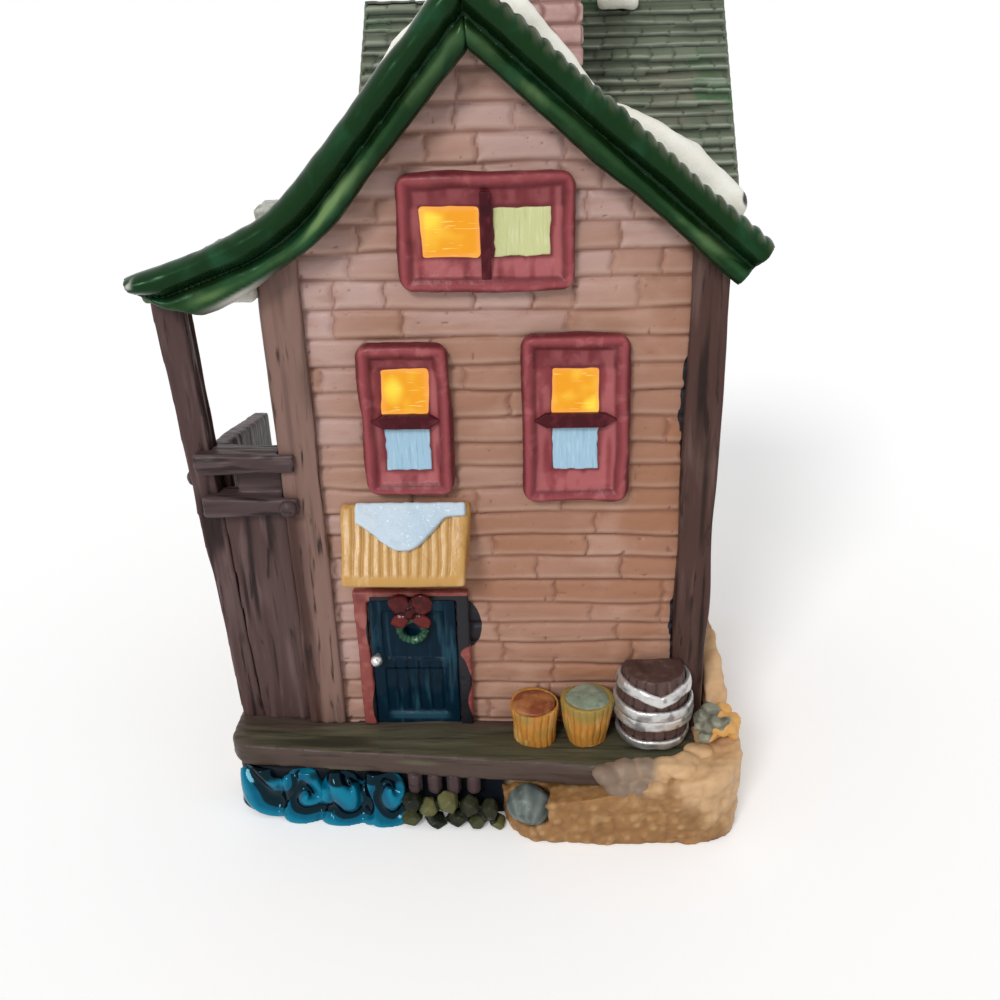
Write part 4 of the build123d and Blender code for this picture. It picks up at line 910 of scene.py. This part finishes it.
def bricked(node, seed):
    """Staggered bricks with rounded edges on the upright faces."""
    skin = Skin(node, voxel=0.35, soften=5)
    across = np.where(np.abs(skin.normals[:, 1]) > np.abs(skin.normals[:, 0]), skin.x, skin.y)
    below, above, end, tone, lift = courses(
        across, skin.z, BRICK_COURSE, BRICK_JITTER, BRICK_LENGTHS, BRICK_WAVE, seed)
    near = np.minimum(np.minimum(below, above), end)
    upright = ramp(np.abs(skin.normals[:, 2]), 0.8, 0.5)
    joint = bell(near, BRICK_EDGE) * upright
    skin.push(0.15 * lift * upright - BRICK_GROOVE * joint + 0.1 * skin.lumps(2, seed + 1))
    skin.piece(node + "_bricks", "brick", brick, [node], joint, tone, 0.5 * tone * upright)


bricked("brick_chimney", 111)
soft_copy("stone_stack", "stone", stone, lump=2.4, swell=0.35, fine=0.9, bite=0.15, seed=113)

# Windows: bevelled frames, a lit pane behind the glass line, a painted pane and a dark sash bar
FILM_MARGIN = 1.2
FILM_SINK = 0.15
RECESS = 1.45
LEDGE = 0.35
RIM_WIDE = 2.5
RIM_PROUD = 0.55
RIM_SLACK = 0.5
RECESS_MARGIN = 0.15
PANE_PROUD = 0.22
SASH_PROUD = 1.7
SASH_HALF = 1.4
SASH_SLIM = 0.98
SASH_POINT = 2.4
SASH_REACH = 0.385
UPRIGHT_REACH = 0.36
GLOW_WIDE = 3.4


def wobbly(low, high, amount, seed, steps=7):
    """A rectangle in X and Z with hand-drawn sides."""
    random = np.random.default_rng(seed)
    corners = [(low[0], low[2]), (high[0], low[2]), (high[0], high[2]), (low[0], high[2])]
    return [[start[k] + step / steps * (end[k] - start[k]) + random.uniform(-amount, amount) for k in (0, 1)]
            for start, end in zip(corners, corners[1:] + corners[:1]) for step in range(steps)]


def sash_outline(middle, low, high, upright):
    """An upright bar that narrows downwards, or a level bar with pointed ends."""
    x, z = middle[0], middle[2]
    if upright:
        z, reach = z - 0.5, (high[2] - low[2]) * UPRIGHT_REACH
        return [(x - SASH_SLIM, z - reach), (x + SASH_SLIM * 0.8, z - reach), (x + SASH_SLIM, z + reach),
                (x - SASH_SLIM, z + reach)]
    z, reach = z + 0.2, (high[0] - low[0]) * SASH_REACH
    inner = reach - SASH_POINT
    return [(x - reach, z), (x - inner, z - SASH_HALF), (x + inner, z - SASH_HALF), (x + reach, z + 0.3),
            (x + inner, z + SASH_HALF), (x - inner, z + SASH_HALF)]


def dress_window(name, blind, upright, glow_share, seed):
    """One window; the lamp glows through its film at glow_share of the pane's width and height."""
    frame_node, film_node = name + "_window_frame", name + "_film_pane"
    low, high = span(frame_node)
    film_low, film_high = span(film_node)
    pane_low, pane_high = film_low + FILM_MARGIN, film_high - FILM_MARGIN
    middle = (low + high) / 2
    blind_low, blind_high = 2 * middle - pane_high, 2 * middle - pane_low
    both_low = np.minimum(pane_low, blind_low) - RECESS_MARGIN
    both_high = np.maximum(pane_high, blind_high) + RECESS_MARGIN
    floor_y = low[1] + RECESS

    skin = Skin(frame_node, voxel=0.28, soften=7)
    skin.push(0.35 * skin.lumps(8, seed) + 0.08 * skin.lumps(1.5, seed + 1))
    aside = np.maximum(np.maximum(both_low - skin.points, skin.points - both_high), 0)
    out = np.hypot(aside[:, 0], aside[:, 2])
    edge = skin.inset(low, high) + 0.45 * skin.lumps(6, seed + 4)
    facing = skin.front(0.2, 0.6)
    inside = np.clip(edge - RIM_WIDE, 0, None)
    sunk = LEDGE + (RECESS - LEDGE) * inside / (inside + out + 0.01)
    skin.y -= RIM_PROUD * np.sin(math.pi * np.clip(edge / RIM_WIDE, 0, 1)) * facing
    step = ramp(edge, RIM_WIDE - 0.5, RIM_WIDE + 0.5)
    rim_top = RIM_PROUD + RIM_SLACK
    skin.y[:] = np.maximum(skin.y, low[1] - rim_top + step * (rim_top + sunk))
    brush = skin.lumps((1.2, 2, 5), seed + 3)
    # Painted shade at the step into the recess, round the panes and under the top of the rim, with darker
    # brush marks and a dark outer edge.
    shade = 0.5 * bell(edge - RIM_WIDE, 0.5) + 0.5 * bell(out, 0.4)
    shade += 0.3 * step * ramp(skin.z, both_high[2] - 0.5, both_high[2] + 0.5) + 0.3 * ramp(brush, 0.5, 0.95)
    shade = np.maximum(shade * facing, 0.75 * ramp(edge, 0.8, 0.2))
    # Lighter brush marks in the recess, and a painted highlight along the top of the rim and on the lower and
    # right bevels, which face the key light.
    light = 0.9 * step * ramp(-brush, -0.4, 0.5) + 0.35 * bell(edge - 0.5 * RIM_WIDE, 0.5)
    bevel = np.maximum(ramp(skin.z, both_low[2], both_low[2] - 1.2),
                       ramp(skin.x, both_high[0], both_high[0] + 1.2))
    light += 0.8 * step * bevel * ramp(brush, 0.8, -0.2)
    skin.piece(name + "_window_casing", "window", maroon, [frame_node], shade,
               crest=light * facing * ramp(shade, 0.6, 0.2))

    skin = Skin(plate(wobbly(film_low, film_high, 0.1, seed), 0, -floor_y - FILM_SINK), voxel=0.25, soften=2)
    # A painted hot spot where the lamp glows through (crest), and an orange rim of glow along the pane's
    # edges.
    glow = pane_low[[0, 2]] + np.array(glow_share) * (pane_high - pane_low)[[0, 2]]
    far = np.linalg.norm(skin.points[:, [0, 2]] - glow, axis=1) + 0.8 * skin.lumps(2.5, seed + 7)
    skin.piece(name + "_lit_pane", "film", film, [film_node], ramp(skin.inset(pane_low, pane_high), 0.9, 0.1),
               crest=ramp(far, GLOW_WIDE, 0.3))

    painted = wobbly(blind_low, blind_high, 0.18, seed + 5)
    skin = Skin(plate(painted, 0.2, -floor_y + PANE_PROUD), voxel=0.22, soften=2)
    skin.piece(name + "_blind_pane", "window", blind)

    gap_middle = (pane_low + pane_high + blind_low + blind_high) / 4
    outline = sash_outline(gap_middle, low, high, upright)
    skin = Skin(plate(outline, 0.9, -floor_y + SASH_PROUD), voxel=0.2, soften=4)
    skin.piece(name + "_sash_bar", "window", sash_paint, crest=ramp(skin.lumps(2, seed + 6), 0.2, 0.8))


dress_window("left", pale_blue, False, (0.25, 0.55), 131)
dress_window("right", pale_blue, False, (0.95, 0.1), 141)
dress_window("upper", pale_green, True, (0.1, 0.75), 151)

# Door
PLANK_PITCH = 2.5
PLANK_FOOT, PLANK_TOP, PLANK_SIDE = (3.0, 3.6), (0.6, 1.2), (2.6, 3.0)
SILL_FOOT, SILL_TOP, SILL_HALF = (0.8, 1.6), (3.4, 2.4), (7.5, 5.0)
DOOR_MIDDLE = -19.0
WREATH_SPRIGS = 16
BOW_RAISE = 1.4
leaf_low, leaf_high = span("door_leaf")
rail_level = span("door_knob")[0][2] + 0.4


def door_leaf():
    skin = Skin("door_leaf", voxel=0.25, soften=4)
    plank = np.abs(np.sin(math.pi * (skin.x - leaf_low[0] + 0.25 * skin.lumps(3, 3)) / PLANK_PITCH))
    groove = ramp(plank, 0.35, 0.0) * ramp(skin.z, *PLANK_FOOT) * ramp(rail_level - skin.z, *PLANK_TOP)
    side = np.minimum(skin.x - leaf_low[0], leaf_high[0] - skin.x)
    groove *= ramp(side, *PLANK_SIDE) * skin.front(0.2, 0.6)
    skin.push(0.1 * skin.lumps(2.5, 4) - 0.3 * groove)
    # A painted highlight along the sill, with teal brush streaks on the door.
    sill = ramp(skin.z, *SILL_TOP) * ramp(skin.z, *SILL_FOOT) * ramp(np.abs(skin.x - DOOR_MIDDLE), *SILL_HALF)
    skin.piece("door_leaf_planks", "door_navy", navy, ["door_leaf"], groove,
               crest=np.maximum(sill, 0.5 * ramp(skin.lumps((1.2, 2, 6), 6), 0.4, 0.9)))


def door_surround():
    skin = Skin("door_frame", voxel=0.3, soften=4)
    skin.push(0.3 * skin.lumps(7, 8) + 0.08 * skin.lumps(1.5, 9))
    x, z = skin.x, skin.z
    inner = ramp(x - leaf_low[0] + 0.7 * np.sin(z / 3), -0.3, 0.1) * ramp(door_high[2] - 0.7 - z, 0, 0.5)
    ragged = leaf_high[0] + 2.5 + 0.5 * np.sin(z / 1.7 + 1) - 1.5 * bell(z - SPILL_PINCH, 1.6)
    ragged += 2 * ramp(z, SPILL_PINCH + 1, SPILL_PINCH + 2.5)
    skin.piece("door_surround", "door_red", door_red, ["door_frame"], crest=ramp(skin.lumps(2, 10), 0.3, 0.9),
               spill=inner * ramp(ragged - x, -0.3, 0.3))


def wreath():
    low, high = span("door_wreath")
    middle, radius = (low + high) / 2, (high[0] - low[0]) / 2 - 1.1
    sprigs = []
    for index in range(WREATH_SPRIGS):
        angle = 2 * math.pi * index / WREATH_SPRIGS
        centre = (middle[0] + radius * math.cos(angle), middle[1], middle[2] + radius * math.sin(angle))
        sprigs.append((centre, (0.9, 1.0, 1.4), -angle + 0.5))
    skin, _, crease = cluster(sprigs, facets=20, voxel=0.18, soften=2, seed=157)
    # Painted shade where the sprigs meet.
    skin.piece("wreath_sprigs", "wreath", green, ["door_wreath"], crease,
               crest=ramp(skin.lumps(0.8, 12), 0.2, 0.8))


def bow():
    """Two loops, two tails and a knot."""
    low, high = span("wreath_bow")
    x, y, z = (low + high) / 2 + np.array([0, 0, BOW_RAISE])
    parts = [((x + side * 2.4, y, z + 2.9), (2.5, 1.1, 2.6), -side * 0.3) for side in (-1, 1)]
    parts += [((x + side * 2.3, y, z - 1.2), (2.3, 0.9, 1.7), side * 0.6) for side in (-1, 1)]
    parts.append(((x, y - 0.4, z + 0.9), (1.2, 1.1, 1.5), 0))
    skin, which, crease = cluster(parts, facets=40, voxel=0.18, soften=3, seed=159)
    # Painted shade where the loops, tails and knot meet; the tails are painted brighter.
    skin.piece("ribbon_bow", "door_red", bow_red, ["wreath_bow"], crease,
               crest=0.7 * np.isin(which, (2, 3)) + 0.3 * ramp(skin.lumps(1, 13), 0.3, 0.9))


door_leaf()
door_surround()
wreath()
bow()
soft_copy("door_knob", "silver", silver, voxel=0.2, bite=0.12, fine=0.9, swell=0.1, seed=155)

# Awning: a fluted box roof with a lobe of snow
awning_low, awning_high = span("awning")
AWNING_SAG = 0.5
AWNING_DROP = 1.2
FLUTE_PITCH = 2.0
AWNING_TAPER = 0.05
FLUTE_START = 2.4
FLUTE_END = 3.4
DRIFT_STEPS = 40
DRIFT_LEFT, DRIFT_RIGHT, DRIFT_OVER = 3.2, 0.4, 0.6
DRIFT_UNDER, DRIFT_PROUD = -0.8, 2.0
lip = np.array([awning_low[1], awning_low[2] + 1.6])
crown = np.array([awning_high[1] - 1.2, awning_high[2] - AWNING_DROP])
awning_slope = math.atan2(crown[1] - lip[1], crown[0] - lip[0])
slope_length = math.hypot(*(crown - lip))


def fluted_awning():
    low_z = awning_low[2] - AWNING_SAG
    profile = [(awning_high[1], low_z + 0.8), (awning_high[1], crown[1]), tuple(crown), tuple(lip),
               (lip[0], low_z)]
    turned = Matrix.Rotation(math.pi / 2, 4, "Z")
    skin = Skin(plate(profile, awning_low[0], awning_high[0], turned), voxel=0.3, soften=30)
    flute = np.abs(np.sin(math.pi * (skin.x + 0.4 * skin.lumps((4, 4, 9), 162)) / FLUTE_PITCH))
    front = skin.front(0.3, 0.6) * ramp(skin.z, awning_low[2] + 1.0, awning_low[2] + 2.2)
    front *= ramp(skin.x - awning_low[0], FLUTE_START - 0.6, FLUTE_START)
    front *= ramp(awning_high[0] - skin.x, FLUTE_END - 0.6, FLUTE_END)
    groove = ramp(flute, 0.6, 0.1) * front
    skin.push(0.3 * skin.lumps(6, 161) + 0.4 - 0.4 * groove)
    middle = (awning_low[0] + awning_high[0]) / 2
    skin.x -= AWNING_TAPER * (skin.x - middle) * ramp(skin.z, awning_high[2], awning_low[2])
    # Painted shade in the flute grooves and on the right cheek, which turns away from the key light; a
    # painted highlight on the flute ridges.
    shade = 0.45 * groove + 0.5 * ramp(skin.normals[:, 0], 0.4, 0.9)
    skin.piece("awning_flutes", "awning", ochre, ["awning"], shade, crest=0.7 * ramp(flute, 0.6, 1.0) * front)


def awning_drift():
    """A sheet of snow over the top of the slope that hangs down in one lobe."""
    left, right_end = awning_low[0] + DRIFT_LEFT, awning_high[0] - DRIFT_RIGHT
    upper, lower = [], []
    for step in range(DRIFT_STEPS + 1):
        u = left + (right_end - left) * step / DRIFT_STEPS
        part = (u - left) / (right_end - left)
        lobe = 0.26 - 0.11 * part + 0.44 * math.sin(math.pi * min(part / 0.82, 1) ** 1.15) ** 1.2
        upper.append((u, slope_length + DRIFT_OVER))
        lower.insert(0, (u, slope_length * (1 - lobe)))
    lean = Matrix.Translation((0, lip[0], lip[1])) @ Matrix.Rotation(awning_slope - math.pi / 2, 4, "X")
    skin = Skin(plate(upper + lower, DRIFT_UNDER, DRIFT_PROUD, lean), voxel=0.3, soften=16)
    wash_and_shade = ramp(-skin.lumps(3, 166), 0.4, 0.9)
    skin.push(0.25 * skin.lumps(5, 164) + 0.1 * skin.lumps(1.1, 165))
    skin.piece("awning_drift", "snow", awning_white, ["awning_snow"], wash_and_shade)


fluted_awning()
awning_drift()


# Goods on the deck
STAVES = 18
SPLINTS = 20
HOOP_DIP = 1.4
HOOP_SINK = 0.5
HEAP_SHARE = 0.92
HEAP_FLAT = 0.3


def angle_round(skin, node):
    """Angles of points round an upright round piece, whose axis lies a radius behind its front."""
    low, high = span(node)
    radius = (high[0] - low[0]) / 2
    return np.arctan2(skin.x - (low[0] + high[0]) / 2, low[1] + radius - skin.y)


def staved(node, name, slot, glaze, count, bite, seed, olive=0.0):
    """Upright staves or splints cut round a vessel; olive is the strength of the green below its rim."""
    skin = Skin(node, voxel=0.28, soften=4)
    low, high = span(node)
    angle = angle_round(skin, node) + 0.05 * skin.lumps(3, seed)
    groove = ramp(np.abs(np.sin(angle * count / 2)), 0.55, 0.05) * ramp(np.abs(skin.normals[:, 2]), 0.7, 0.4)
    skin.push(0.5 * skin.lumps(5, seed + 1) - bite * groove)
    band = ramp(skin.z + skin.lumps(3, seed + 3), low[2] + 0.62 * (high[2] - low[2]), high[2] - 1)
    patch = ramp(skin.lumps(4, seed + 4), 0.3, 0.7)
    crest = ramp(skin.lumps((1.5, 1.5, 5), seed + 2), 0.3, 0.9)
    spill = np.maximum(olive * band, 0.7 * patch)
    skin.piece(name, slot, glaze, [node], 0.45 * groove, crest=crest, spill=spill)


def hoops():
    """The barrel's bands, the upper one dented at the front."""
    skin = Skin("barrel_hoops", voxel=0.22, soften=3)
    high = span("barrel_hoops")[1]
    angle = angle_round(skin, "barrel_hoops")
    upper = ramp(skin.z, high[2] - 3.5, high[2] - 2.5)
    dip = (HOOP_SINK + HOOP_DIP * np.clip(1 - np.abs(angle - 0.1) / 0.6, 0, 1)) * upper
    skin.push(0.22 + 0.15 * skin.lumps(2, 171))
    skin.z -= dip
    skin.x += np.sin(angle) * 0.28 * dip
    skin.y -= np.cos(angle) * 0.28 * dip
    skin.z += 0.3 * skin.lumps((4, 4, 40), 172)
    skin.piece("barrel_bands", "silver", silver, ["barrel_hoops"], ramp(-skin.lumps(1.4, 173), 0.3, 0.8))


def heaped(node, basket, slot, glaze, seed):
    """A heap in a basket, nearly level with its rim."""
    skin = Skin(node, voxel=0.25, soften=5)
    foot = span(node)[0][2]
    skin.z[:] = foot + (skin.z - foot) * HEAP_SHARE
    skin.z -= (1 - HEAP_FLAT) * np.clip(skin.z - span(basket)[1][2], 0, None)
    knobs, second = pebbles(skin.points, 2.8, seed)
    skin.push(0.3 * (0.5 - knobs) + 0.3 + 0.5 * skin.lumps(4, seed + 4))
    # Painted shade in the creases between knobs.
    skin.piece(node + "_heap", slot, glaze, [node], 0.2 * ramp(second - knobs, 0.25, 0.02),
               crest=ramp(skin.lumps(2.4, seed + 5), 0.0, 0.6))


staved("barrel", "barrel_staves", "barrel", staves, STAVES, 0.35, 165)
hoops()
staved("small_basket", "small_basket_splints", "basket", splint, SPLINTS, 0.3, 168)
staved("large_basket", "large_basket_splints", "basket", splint, SPLINTS, 0.3, 170, olive=1.0)
heaped("small_basket_fill", "small_basket", "fruit", fruit, 173)
heaped("large_basket_fill", "large_basket", "greens", greens, 175)

# Shore: curling water, split stones, lumpy sand and a tuft
CURLS = ((-50.0, -8.6, 1), (-43.6, -11.4, -1), (-34.6, -10.6, 1), (-26.0, -10.6, -1))
CURL_PITCH = 6.4
CURL_DEEP = 1.7
WATER_TURN = -49.0
WATER_RADIUS = 11.5
WATER_BACK = 6.0
WATER_RISE = 1.25
WATER_SHADE, WATER_END = (-9.0, -6.4), (-23.5, -20.5)
deck_floor = span("boardwalk_deck")[0][2] - 0.05
rocks_low, rocks_high = span("shore_rocks")


def water_curls():
    """Swelling water with a curl pressed into each crest; CURLS gives middles in X and Z and a sense."""
    foot = span("water_waves")[0][2]
    skin = Skin("water_waves", voxel=0.32, soften=8)
    x, z = skin.x + 2.0 * skin.lumps(5, 181), skin.z + 2.0 * skin.lumps(5, 182)
    away = np.array([np.hypot(x - curl_x, 1.25 * (z - curl_z)) for curl_x, curl_z, sense in CURLS])
    curl_x, curl_z, sense = np.array(CURLS)[np.argmin(away, axis=0)].T
    angle = np.arctan2(z - curl_z, (x - curl_x) * sense)
    curl = 0.5 + 0.5 * np.cos(2 * math.pi * (np.min(away, axis=0) / CURL_PITCH + angle / (2 * math.pi)))
    front = skin.front(-0.1, 0.3)
    skin.push(CURL_DEEP * (curl - 0.6) * front + 0.6 * skin.lumps(6, 185))
    skin.z[:] = np.clip(foot + WATER_RISE * (skin.z - foot), foot, deck_floor)
    round_off = np.clip((WATER_TURN - skin.x) / WATER_RADIUS, 0, 1)
    skin.y += WATER_BACK * (1 - np.sqrt(1 - round_off ** 2))
    shade = ramp(curl + 0.2 * skin.lumps(4, 187), 0.52, 0.1) * front
    shade += ramp(skin.z, *WATER_SHADE) * ramp(skin.lumps(5, 186), -0.5, 0.3) + ramp(skin.x, *WATER_END)
    # Brighter teal on the ridges of the curls: teal paint, partly a painted highlight.
    skin.piece("water_curls", "water", water, ["water_waves"], shade, crest=ramp(curl, 0.6, 1.0))


ROCKS = ((-20.4, -15.2, 2.7, 1.9), (-16.7, -12.3, 2.9, 2.4), (-15.2, -15.8, 2.9, 1.6),
         (-12.3, -11.0, 2.8, 2.8), (-10.4, -15.0, 2.8, 2.2), (-7.6, -12.0, 2.7, 2.7), (-6.0, -15.8, 2.8, 1.7),
         (-3.2, -12.8, 2.4, 2.9), (-20.2, -10.8, 2.7, 2.3), (-1.6, -16.0, 2.4, 1.4))
ROCK_DEPTH = -14.6
ROCK_THICK = 2.6
DARK_ROCKS = (2, 4, 5, 7, 8)
BOULDER_RADII = (5.2, 4.4, 4.7)
BOULDER_DEPTH, BOULDER_LEVEL = -16.2, -10.2


def shore_stones():
    """Split stones packed against the dark base; ROCKS gives middles in X and Z and half sizes."""
    random = np.random.default_rng(186)
    stones = [((x, ROCK_DEPTH, z), (wide, ROCK_THICK, tall), random.uniform(-0.5, 0.5))
              for x, z, wide, tall in ROCKS]
    skin, which, crease = cluster(stones, facets=14, voxel=0.28, soften=3, seed=187)
    skin.z[:] = np.maximum(skin.z, rocks_low[2])
    # Painted shade where the stones meet, and some stones painted darker.
    dark = np.maximum(crease, 0.85 * np.isin(which, DARK_ROCKS))
    skin.piece("shore_stones", "rock", rock, ["shore_rocks"], dark,
               crest=0.8 * (which % 2 == 1) * ramp(crease, 0.5, 0.1))


def shore_boulder():
    x = rocks_high[0] - BOULDER_RADII[0]
    stone = ((x, BOULDER_DEPTH, BOULDER_LEVEL), BOULDER_RADII, 0.1)
    skin = cluster([stone], facets=60, voxel=0.35, soften=4, seed=188)[0]
    angle = np.arctan2(skin.z - BOULDER_LEVEL + 4, skin.x - x)
    stroke = np.sin(angle * 16 + 2 * skin.lumps(3, 189))
    skin.piece("shore_boulder", "rock", grey_rock, wash_and_shade=0.4 * ramp(-stroke, 0.3, 1),
               crest=0.8 * ramp(stroke, 0.2, 1))


SAND_SEAM = -2.0
SAND_LAP = 1.8
CREAM_X, CREAM_Z = 30.0, -12.0
CREAM_WIDE, CREAM_TALL = 18.0, 12.0
COBBLES = ((22.0, -16.6, -1.4), (26.0, -15.8, -0.9), (30.2, -15.4, -0.6), (34.6, -15.0, -0.6),
           (38.6, -13.6, -0.6), (41.6, -10.6, -0.8), (24.4, -17.6, -4.2), (29.0, -17.8, -4.0),
           (33.6, -17.6, -3.6), (38.0, -16.6, -3.4), (41.4, -14.0, -3.4), (37.6, -16.2, -0.8))
COBBLE_RADII = (3.6, 2.9, 2.3)
COBBLE_GREY = 32.0


def cream_tone(skin, seed):
    """Tone of the sand, which pales to cream towards its top right."""
    climb = (skin.x - CREAM_X) / CREAM_WIDE + (skin.z - CREAM_Z) / CREAM_TALL
    return 0.5 + 0.5 * ramp(climb + 0.35 * skin.lumps(5, seed), 0.3, 1.5)


def cobbles():
    """Stones and sand heaped over the end of the deck; COBBLES gives their middles."""
    stones = [(middle, COBBLE_RADII, 0.2) for middle in COBBLES]
    skin, _, crease = cluster(stones, facets=40, voxel=0.4, soften=12, seed=193)
    tone, crest = cream_tone(skin, 198), 0.8 * ramp(skin.lumps(3, 194), -0.2, 0.5)
    grey = ramp(skin.x + 2.5 * skin.lumps(4, 197) - COBBLE_GREY, 1.5, -1.5) * ramp(crease, 2.2, 0.6)
    skin.push(0.5 * (0.5 - pebbles(skin.points, 2.6, 195)[0]) + 0.4 * skin.lumps(5, 196))
    # Painted shade where the stones meet.
    skin.piece("deck_end_cobbles", "sand", sand, (), 0.3 * crease, tone, crest, grey)


def sandy(node, seed):
    skin = Skin(node, voxel=0.5, soften=6)
    low, high = span(node)
    near, second = pebbles(skin.points + 0.8 * skin.lumps(4, seed)[:, None], (6, 6, 4.2), seed + 1)
    small, small_second = pebbles(skin.points, 2.3, seed + 5)
    skin.push(1.1 * (0.5 - near) + 0.6 * (0.5 - small) + 0.5 * skin.lumps(9, seed + 9))
    skin.z[:] = np.maximum(skin.z, low[2])
    seam = ramp(np.abs(skin.y - SAND_SEAM), 2.0, 0.6)
    skin.y += SAND_LAP * seam * np.sign(SAND_SEAM - (low[1] + high[1]) / 2)
    # Painted shade in the hollows between lumps, which also dims the cream there, and a painted highlight on
    # the tops of the small lumps.
    hollow = 0.45 * ramp(second - near, 0.3, 0.02) + 0.35 * ramp(small_second - small, 0.25, 0.02)
    tone = cream_tone(skin, seed + 11)
    skin.piece(node + "_lumps", "sand", sand, [node], hollow * ramp(skin.lumps(7, seed + 10), -0.7, 0.3),
               tone - 0.4 * hollow * (tone - 0.5), ramp(small, 0.42, 0.15) * ramp(near, 0.7, 0.3))


TUFT_LEAVES = 22
TUFT_RAISE = 0.9
TUFT_SHARE = 1.05
LEAF_RADII = (2.3, 1.8, 1.5)


def tuft():
    """Leaves round a core."""
    low, high = span("shore_plant")
    centre = (low + high) / 2 + np.array([0, 0, TUFT_RAISE])
    radius = TUFT_SHARE * (high[0] - low[0]) / 2
    random = np.random.default_rng(190)
    leaves = [(tuple(centre + (0, 0, 0.6)), (radius * 0.85, radius * 0.8, radius * 0.8), 0)]
    for index in range(TUFT_LEAVES):
        angle = GOLDEN_ANGLE * index
        rise = random.uniform(-0.4, 0.95)
        flat = math.sqrt(1 - rise * rise)
        way = np.array([flat * math.cos(angle), flat * math.sin(angle), rise + 0.15])
        leaves.append((tuple(centre + way * radius * 0.86), LEAF_RADII, random.uniform(-1.2, 1.2)))
    skin, _, crease = cluster(leaves, facets=18, voxel=0.28, soften=4, seed=191)
    aside = (skin.x - centre[0] + 0.5 * (centre[2] - skin.z)) / radius
    # Painted shade where the leaves meet; orange paint to the right and below.
    skin.piece("shore_tuft", "plant", plant, ["shore_plant"], 0.7 * crease,
               crest=ramp(skin.lumps(1.2, 192), 0.2, 0.8),
               spill=ramp(aside + 0.5 * skin.lumps(2.2, 198), -0.35, -0.1))


water_curls()
shore_stones()
shore_boulder()
cobbles()
sandy("sand_bank", 179)
sandy("sand_dune", 182)
tuft()


# Lamp: the solids keep their shape
def lamp_finish(name, colour, roughness, metallic, mark):
    glaze = Glaze(name, colour, roughness, specular=0.5, Metallic=metallic)
    glaze.marks(mark, 3.0, (0.5, 0.75), 0.5, 4, (1, 6, 1))
    glaze.gloss(roughness * 0.8, roughness * 1.3, 2.0)
    glaze.relief(0.03, 0.6, 2)
    return glaze


bulb_finish = Glaze("bulb glass", (0.98, 0.98, 0.96), 0.02, specular=0.5, Transmission_Weight=0.95, IOR=1.45)
bulb_finish.gloss(0.01, 0.05, 8.0, 2)
plated = lamp_finish("plated shell", (0.72, 0.58, 0.3), 0.28, 1.0, (0.55, 0.43, 0.22))
for node, glaze in (
        ("lamp_socket", lamp_finish("lampholder", (0.8, 0.79, 0.75), 0.38, 0.0, (0.7, 0.68, 0.62))),
        ("spring_clip", lamp_finish("spring steel", (0.55, 0.55, 0.56), 0.3, 1.0, (0.38, 0.37, 0.36))),
        ("bulb_glass", bulb_finish), ("bulb_cap", plated), ("bulb_contact", plated),
        ("bulb_filament", lamp_finish("lead wire", (0.34, 0.33, 0.32), 0.4, 1.0, (0.22, 0.21, 0.2)))):
    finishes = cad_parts[node].data.materials
    finishes.clear()
    finishes.append(glaze.material)

# Stage: a pale floor, a white world and one soft key from the upper left
FLOOR_HALF = 4.0
FLOOR_LIFT = 0.2
WORLD_LIGHT = 0.62
KEY_POWER = 1.5
KEY_FROM = Vector((-0.32, -0.74, 0.59))
KEY_ANGLE = math.radians(16)

floor_mesh = bpy.data.meshes.new("floor")
sides = ((-1, -1), (1, -1), (1, 1), (-1, 1))
floor_mesh.from_pydata([(x * FLOOR_HALF, y * FLOOR_HALF, 0) for x, y in sides], [], [(0, 1, 2, 3)])
floor = bpy.data.objects.new("floor", floor_mesh)
scene.collection.objects.link(floor)
floor_paint = Glaze("floor paint", (0.9, 0.9, 0.9), 0.9, specular=0.0)
floor_paint.over((0.92, 0.92, 0.92), floor_paint.noise(200, 2))
floor_paint.fill(floor_paint.shader, Emission_Color=(1, 1, 1, 1),
                 Emission_Strength=floor_paint.maths("MULTIPLY", floor_paint.seen(), FLOOR_LIFT))
floor_mesh.materials.append(floor_paint.material)

world = bpy.data.worlds.new("studio")
scene.world = world
world.use_nodes = True
sky = Nodes(world.node_tree)
sky.fill(sky.tree.nodes["Background"], Color=(1, 1, 1, 1), Strength=sky.between(sky.seen(), WORLD_LIGHT, 1.0))

sun = bpy.data.lights.new("key", "SUN")
sun.energy = KEY_POWER
sun.angle = KEY_ANGLE
key = bpy.data.objects.new("key", sun)
key.matrix_world = KEY_FROM.to_track_quat("Z", "Y").to_matrix().to_4x4()
scene.collection.objects.link(key)

# Camera: close in front and above the deck, looking down at the door
CAMERA_PLACE = Vector((9.643, -184.0, 138.27))
CAMERA_YAW = math.radians(3.0)
CAMERA_PITCH = math.radians(24.5)
CAMERA_ROLL = math.radians(1.6)
SENSOR = 36.0

aim = Matrix.Rotation(CAMERA_YAW, 4, "Z") @ Matrix.Rotation(math.pi / 2 - CAMERA_PITCH, 4, "X")
roll = Matrix.Rotation(-CAMERA_ROLL, 4, "Z")
lens = bpy.data.cameras.new("camera")
lens.sensor_width = SENSOR
lens.lens = SENSOR
lens.clip_start = 0.01
camera = bpy.data.objects.new("camera", lens)
camera.matrix_world = Matrix.Translation(FROM_MM @ CAMERA_PLACE) @ aim @ roll
scene.collection.objects.link(camera)
scene.camera = camera
scene.view_settings.view_transform = "Standard"
